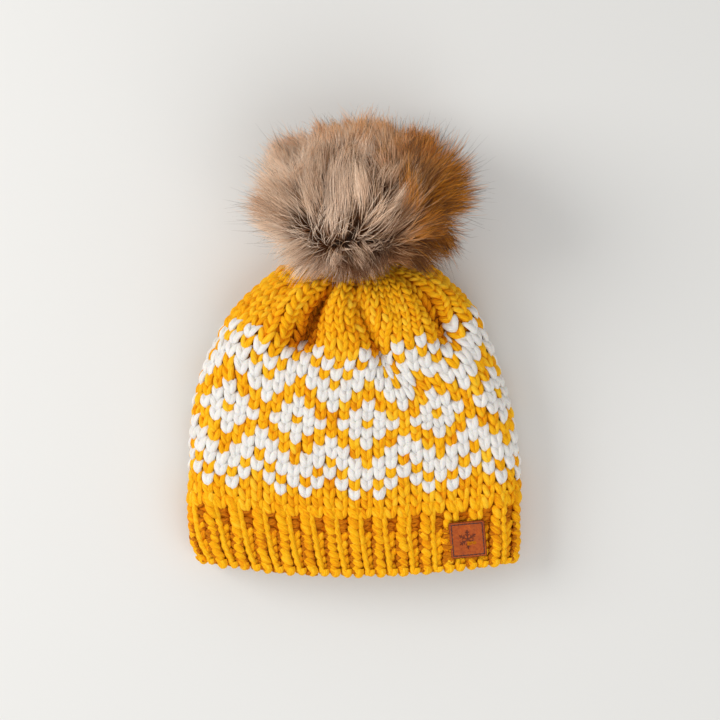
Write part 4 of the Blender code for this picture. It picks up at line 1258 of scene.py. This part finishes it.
def drape(rest, pinned, gravity, cap, slack):
    """Cloth simulation of a sheet with pinned points; each point moves at most cap mm."""
    rows, cols = rest.shape[:2]
    ob = quad_mesh("lining_drape", rest.reshape(-1, 3), grid_quads(rows, cols))
    group = ob.vertex_groups.new(name="held")
    group.add([int(i) for i in np.flatnonzero(pinned.ravel())], 1.0, "REPLACE")
    settings = ob.modifiers.new("Cloth", "CLOTH").settings
    settings.quality = 6
    settings.mass = 0.25
    settings.tension_stiffness = settings.compression_stiffness = 12.0
    settings.shear_stiffness = 6.0
    settings.bending_stiffness = 0.15
    settings.air_damping = 2.0
    settings.vertex_group_mass = "held"
    settings.shrink_min = -slack
    settings.effector_weights.gravity = gravity
    scene = bpy.context.scene
    for i in range(1, 19):
        scene.frame_set(i)
    draped = ob.evaluated_get(bpy.context.evaluated_depsgraph_get())
    out = np.empty(rows * cols * 3, np.float32)
    draped.data.vertices.foreach_get("co", out)
    scene.frame_set(1)
    bpy.data.objects.remove(ob)
    move = out.reshape(rows, cols, 3) * 1000.0 - rest
    far = np.linalg.norm(move, axis=-1, keepdims=True)
    return rest + move * np.minimum(1.0, cap / np.maximum(far, 1e-6))


def knit_floor():
    """Lowest height of the front knit's inner face over a net of squares."""
    cols, rows = np.meshgrid(np.arange(0.5, 29.6, 0.25), np.arange(2.0, 36.0, 0.25))
    points = on_knit(cols, rows, -4.2)[0].reshape(-1, 3)
    net = np.full((90, 100), 1e3)
    i = ((points[:, 0] - NET_X) / NET_CELL).astype(int)
    j = ((points[:, 1] - NET_Y) / NET_CELL).astype(int)
    np.minimum.at(net, (i, j), points[:, 2])
    shifts = [(i, j) for i in (-1, 0, 1) for j in (-1, 0, 1)]
    return np.min([np.roll(net, shift, (0, 1)) for shift in shifts], axis=0)


def under_knit(points):
    """Lets the front lining give way under the pleats."""
    net = knit_floor()
    at_x = (points[..., 0] - NET_X) / NET_CELL - 0.5
    at_y = (points[..., 1] - NET_Y) / NET_CELL - 0.5
    i, j = np.floor(at_x).astype(int), np.floor(at_y).astype(int)
    part_x, part_y = at_x - i, at_y - j
    roof = ((net[i, j] * (1 - part_x) + net[i + 1, j] * part_x) * (1 - part_y)
            + (net[i, j + 1] * (1 - part_x) + net[i + 1, j + 1] * part_x) * part_y)
    roof = np.where(roof > 200, 1e3, roof)
    z = points[..., 2]
    drop = np.maximum(z - roof + 1.3, 0) * (z > 15)
    rows, cols = drop.shape
    for _ in range(3):
        pad = np.pad(drop, 1, mode="edge")
        soft = sum(pad[i:rows + i, j:cols + j] for i in range(3) for j in range(3)) / 9
        drop = np.maximum(drop, soft)
    out = points.copy()
    out[..., 2] = np.maximum(z - drop, np.minimum(z, 14.0))
    return out


def add_fleece(side, first_col, gravity, cap, slack):
    cols = np.concatenate([[0.25, 0.6], np.arange(1.2, 28.9, 0.6), [29.4, 29.75]])
    rows = np.concatenate([np.arange(0.9, 28.3, 0.6), [28.4, 28.6, 28.8, 29.0, 29.2, 29.35]])
    cols, rows = np.meshgrid(cols + first_col, rows)
    mid = lining_at(cols, rows, 2.5 * (1 - smooth(0.9, 4.5, rows)))
    from_fold = cols - first_col
    pinned = (rows < 1.6) | (rows > 25.5) | (from_fold < 2.0) | (from_fold > 28.0)
    mid = drape(mid, pinned, gravity, cap, slack)
    if side == "front":
        mid = under_knit(mid)
    fluff = (0.16 * np.sin(cols * 3.1 + 2 * np.sin(rows * 1.3)) * np.sin(rows * 2.7 + cols)
             + 0.10 * np.sin(cols * 7.3 + rows * 5.1))
    ob = add_piece(f"fleece_{side}", thick_sheet(mid, LINING_HALF, fluff), FLEECE,
                   (f"lining_{side}_panel",), rests=False)
    soft = ob.modifiers.new("soft", "SUBSURF")
    soft.levels = soft.render_levels = 1


add_fleece("front", 0.0, gravity=1.0, cap=4.0, slack=0.03)
add_fleece("back", 30.0, gravity=0.0, cap=1.2, slack=0.02)

# one whip stitch that holds the hem to the rib: column, row, depth under the knit's middle
WHIP = np.array([(0.0, 0.2, 4.4), (0.25, 0.45, 5.9), (0.5, 1.7, 7.5), (0.75, 0.5, 6.2)])


def closed_curve(points):
    """A smooth closed path through points, in five steps from each to the next."""
    t = np.linspace(0, 1, 5, endpoint=False)[:, None]
    last, here, after, beyond = (np.roll(points, by, axis=0)[:, None] for by in (1, 0, -1, -2))
    path = 0.5 * ((2 * here) + (after - last) * t
                  + (2 * last - 5 * here + 4 * after - beyond) * t**2
                  + (3 * here - last - 3 * after + beyond) * t**3)
    path = path.reshape(-1, 3)
    return np.concatenate([path, path[:1]])


hem = on_knit(np.arange(STITCHES)[:, None] + WHIP[:, 0], WHIP[:, 1], -WHIP[:, 2])[0]
cord("hem_whip_thread", closed_curve(hem.reshape(-1, 3)), np.array([0.0, 1.0, 0.0]), 0.45,
     PALE_THREAD, "lining_hem_thread", sides=8)


# ------------------------------------------------------------------ satin care label
def care_label():
    """A folded strip: up the back leaf, round the fold and down the front leaf."""
    low, high = (np.array(corner) * 1000 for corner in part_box("care_label"))
    along = np.linspace(0, 1, 40)[:, None]
    across = np.linspace(-1, 1, 17)[None, :]
    size, middle = high - low, (high + low) / 2
    from_fold = np.abs(along - 0.5) * 2
    near_fold = 1 - from_fold
    x = middle[0] + across * (size[0] / 2) * (1 - 0.012 * np.sin(9 * from_fold) * np.abs(across))
    y = low[1] + (size[1] - 0.3) * near_fold
    z = (middle[2] + 0.27 * np.tanh((along - 0.5) * 14)
         + 0.05 * np.sin(6 * near_fold + 2 * across) * near_fold)
    return thick_sheet(np.stack(np.broadcast_arrays(x, y, z), axis=-1), 0.11)


add_piece("satin_care_label", care_label(), satin(), ("care_label",),
          "care_label", rests=False)

# ------------------------------------------------------------------ leather label
TAG_HALF, TAG_THICK, TAG_CORNER = 12.6, 1.5, 1.6
SEAM_INSET = 1.7                          # from the label's edge to its stitched line
SEAM_HALF = TAG_HALF - SEAM_INSET
HOLES_A_SIDE = 8
TAG_GRID = 121

seam_steps = [-SEAM_HALF + 2 * SEAM_HALF * i / HOLES_A_SIDE for i in range(HOLES_A_SIDE)]
HOLES = ([(step, -SEAM_HALF) for step in seam_steps] + [(SEAM_HALF, step) for step in seam_steps]
         + [(-step, SEAM_HALF) for step in seam_steps]
         + [(-SEAM_HALF, -step) for step in seam_steps])


def star_mask(x, y):
    """Plain six-armed snow star with two pairs of barbs on each arm."""
    reach = 6.2
    out = np.full(x.shape, 9.0)
    for i in range(6):
        angle = math.radians(60 * i + 30)
        arm_x, arm_y = math.cos(angle), math.sin(angle)
        along, off = x * arm_x + y * arm_y, np.abs(-x * arm_y + y * arm_x)
        past_end = np.hypot(np.minimum(np.abs(along - reach), np.abs(along)), off)
        arm = np.where((along > 0) & (along < reach), off, past_end) - 0.42
        out = np.minimum(out, arm)
        for place, size in ((2.7, 1.6), (4.5, 1.2)):
            for sign in (1, -1):
                turn = angle + sign * math.radians(55)
                barb_x, barb_y = math.cos(turn), math.sin(turn)
                from_x, from_y = x - place * arm_x, y - place * arm_y
                run = np.clip(from_x * barb_x + from_y * barb_y, 0, size)
                barb = np.hypot(from_x - run * barb_x, from_y - run * barb_y) - 0.34
                out = np.minimum(out, barb)
    return 1 - smooth(-0.12, 0.22, out)


def tag_grid():
    """Grid points of a rounded square, and each one's gap to the edge."""
    line = np.linspace(-TAG_HALF, TAG_HALF, TAG_GRID)
    grid_x, grid_y = np.meshgrid(line, line)
    inner = TAG_HALF - TAG_CORNER
    over_x, over_y = (np.maximum(np.abs(grid) - inner, 0) for grid in (grid_x, grid_y))
    reach, far = np.maximum(over_x, over_y), np.hypot(over_x, over_y)
    pull = np.where((over_x > 0) & (over_y > 0), reach / np.maximum(far, 1e-9), 1.0)
    x, y = (np.sign(grid) * np.where(over > 0, inner + over * pull, np.abs(grid))
            for grid, over in ((grid_x, over_x), (grid_y, over_y)))
    far_x, far_y = np.abs(x), np.abs(y)
    corner = TAG_CORNER - np.hypot(np.maximum(far_x - inner, 0), np.maximum(far_y - inner, 0))
    gap = np.where((far_x > inner) | (far_y > inner), corner,
                   TAG_HALF - np.maximum(far_x, far_y))
    return x, y, np.clip(gap, 0, None)


def wear_noise():
    """Soft blotches of wear."""
    wear = np.random.default_rng(5).normal(0, 1, (TAG_GRID, TAG_GRID))
    for _ in range(6):
        wear = (wear + np.roll(wear, 1, 0) + np.roll(wear, -1, 0)
                + np.roll(wear, 1, 1) + np.roll(wear, -1, 1)) / 5
    return wear / wear.std()


def add_leather_label():
    """The label with its bevel, pressed star, seam groove and stitch holes."""
    x, y, gap = tag_grid()
    star, wear = star_mask(x, y), wear_noise()
    bevel = 0.55 * (1 - np.sqrt(np.clip(1 - (1 - np.clip(gap / 0.9, 0, 1)) ** 2, 0, 1)))
    groove = np.exp(-(((gap - SEAM_INSET) / 0.32) ** 2))
    pad = 0.22 * np.exp(-(((gap - 4.0) / 3.0) ** 2))
    height = TAG_THICK - bevel - 0.34 * star - 0.16 * groove + pad - 0.2 + 0.025 * wear
    for hole_x, hole_y in HOLES:
        height -= 0.5 * np.exp(-(((x - hole_x) ** 2 + (y - hole_y) ** 2) / 0.42**2))
    underside = 0.12 + 0.25 * (1 - smooth(0, 0.8, gap))
    base, worn, burnt = (np.array(srgb(*colour)) for colour in
                         ((168, 72, 2), (190, 100, 20), (84, 28, 4)))
    wear_share = 0.35 * np.clip(0.5 + 0.4 * wear, 0, 1)[..., None]
    burn = np.clip(0.85 * star + 0.75 * (1 - smooth(0.0, 1.0, gap)) + 0.45 * groove
                   - 0.05 * wear, 0, 1)[..., None]
    colour = (base * (1 - wear_share) + worn * wear_share) * (1 - burn) + burnt * burn
    shade = np.concatenate([colour.reshape(-1, 3), np.tile(burnt, (TAG_GRID**2, 1))])
    add_piece("leather_label", slab(on_label(x, y, height), on_label(x, y, underside)),
              leather(), ("leather_tag",), shade=shade)


def add_saddle_stitches():
    """Dark stitches from hole to hole round the label."""
    steps = np.linspace(0, 1, 9)
    arch = np.sin(math.pi * steps)[:, None]
    lift = 1.02 + 0.42 * np.sin(math.pi * steps) ** 0.6
    paths = []
    for here, after in zip(np.array(HOLES), np.array(HOLES[1:] + HOLES[:1])):
        span = after - here
        bow = np.array([-span[1], span[0]]) / np.hypot(*span) * 0.10
        flat = here + span * (0.07 + 0.86 * steps[:, None]) + bow * arch
        paths.append(on_label(flat[:, 0], flat[:, 1], lift))
    radius = 0.36 * np.interp(steps, [0, 0.15, 0.5, 0.85, 1], [0.75, 1, 1.05, 1, 0.75])
    add_piece("label_saddle_stitches", tubes(np.array(paths), TAG_Z, radius, radius, 8),
              DARK_THREAD, ("tag_thread",))


add_leather_label()
add_saddle_stitches()

# ------------------------------------------------------------------ threads kept from the frame
for node in ("lining_seam_thread", "label_tack_thread"):
    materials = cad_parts[node].data.materials
    materials.clear()
    materials.append(cloth(f"{node}_twist", *PALE, scale=2400, rough=0.6, strength=0.5,
                           distance=0.0003, sheen=0.2))


#@STAGE
# ------------------------------------------------------------------ floor, light, camera (metres)
def add_floor():
    half = 3.0
    mesh = bpy.data.meshes.new("floor")
    corners = [(-half, -half, 0), (half, -half, 0), (half, half, 0), (-half, half, 0)]
    mesh.from_pydata(corners, [], [(0, 1, 2, 3)])
    floor = bpy.data.objects.new("floor", mesh)
    bpy.context.scene.collection.objects.link(floor)
    mesh.materials.append(Shader("floor_pale").surface({
        "Base Color": (*srgb(222, 222, 220), 1),
        "Roughness": 0.9,
        "Specular IOR Level": 0.1,
    }))


def area_light(name, at, target, size, power, colour):
    light = bpy.data.lights.new(name, "AREA")
    light.shape = "DISK"
    light.size = size
    light.energy = power
    light.color = colour
    ob = bpy.data.objects.new(name, light)
    ob.location = at
    ob.rotation_mode = "QUATERNION"
    ob.rotation_quaternion = (Vector(target) - Vector(at)).to_track_quat("-Z", "Y")
    bpy.context.scene.collection.objects.link(ob)


def add_world():
    world = bpy.data.worlds.new("soft_room")
    world.use_nodes = True
    background = world.node_tree.nodes["Background"].inputs
    background["Color"].default_value = (1.0, 0.99, 0.98, 1)
    background["Strength"].default_value = 0.58
    bpy.context.scene.world = world


def add_camera():
    """Looks straight down; a given width fills the view at a plane through the hat."""
    height, plane, view_width = 1.55, 0.035, 0.504
    camera = bpy.data.cameras.new("camera")
    camera.type = "PERSP"
    camera.sensor_width = 36.0
    camera.lens = 36.0 * (height - plane) / view_width
    ob = bpy.data.objects.new("camera", camera)
    ob.location = (0.00315, 0.1484 - REST_Y * MM, height)
    bpy.context.scene.collection.objects.link(ob)
    bpy.context.scene.camera = ob


add_floor()
area_light("window_light", at=(-1.3, 0.35, 1.0), target=(0.0, 0.05, 0.03), size=1.1, power=16.5,
           colour=(1.0, 0.985, 0.965))
area_light("fill_light", at=(0.6, -1.0, 1.5), target=(0.0, 0.05, 0.0), size=1.8, power=12.5,
           colour=(1.0, 0.995, 0.99))
add_world()
bpy.context.scene.view_settings.view_transform = "Standard"
add_camera()
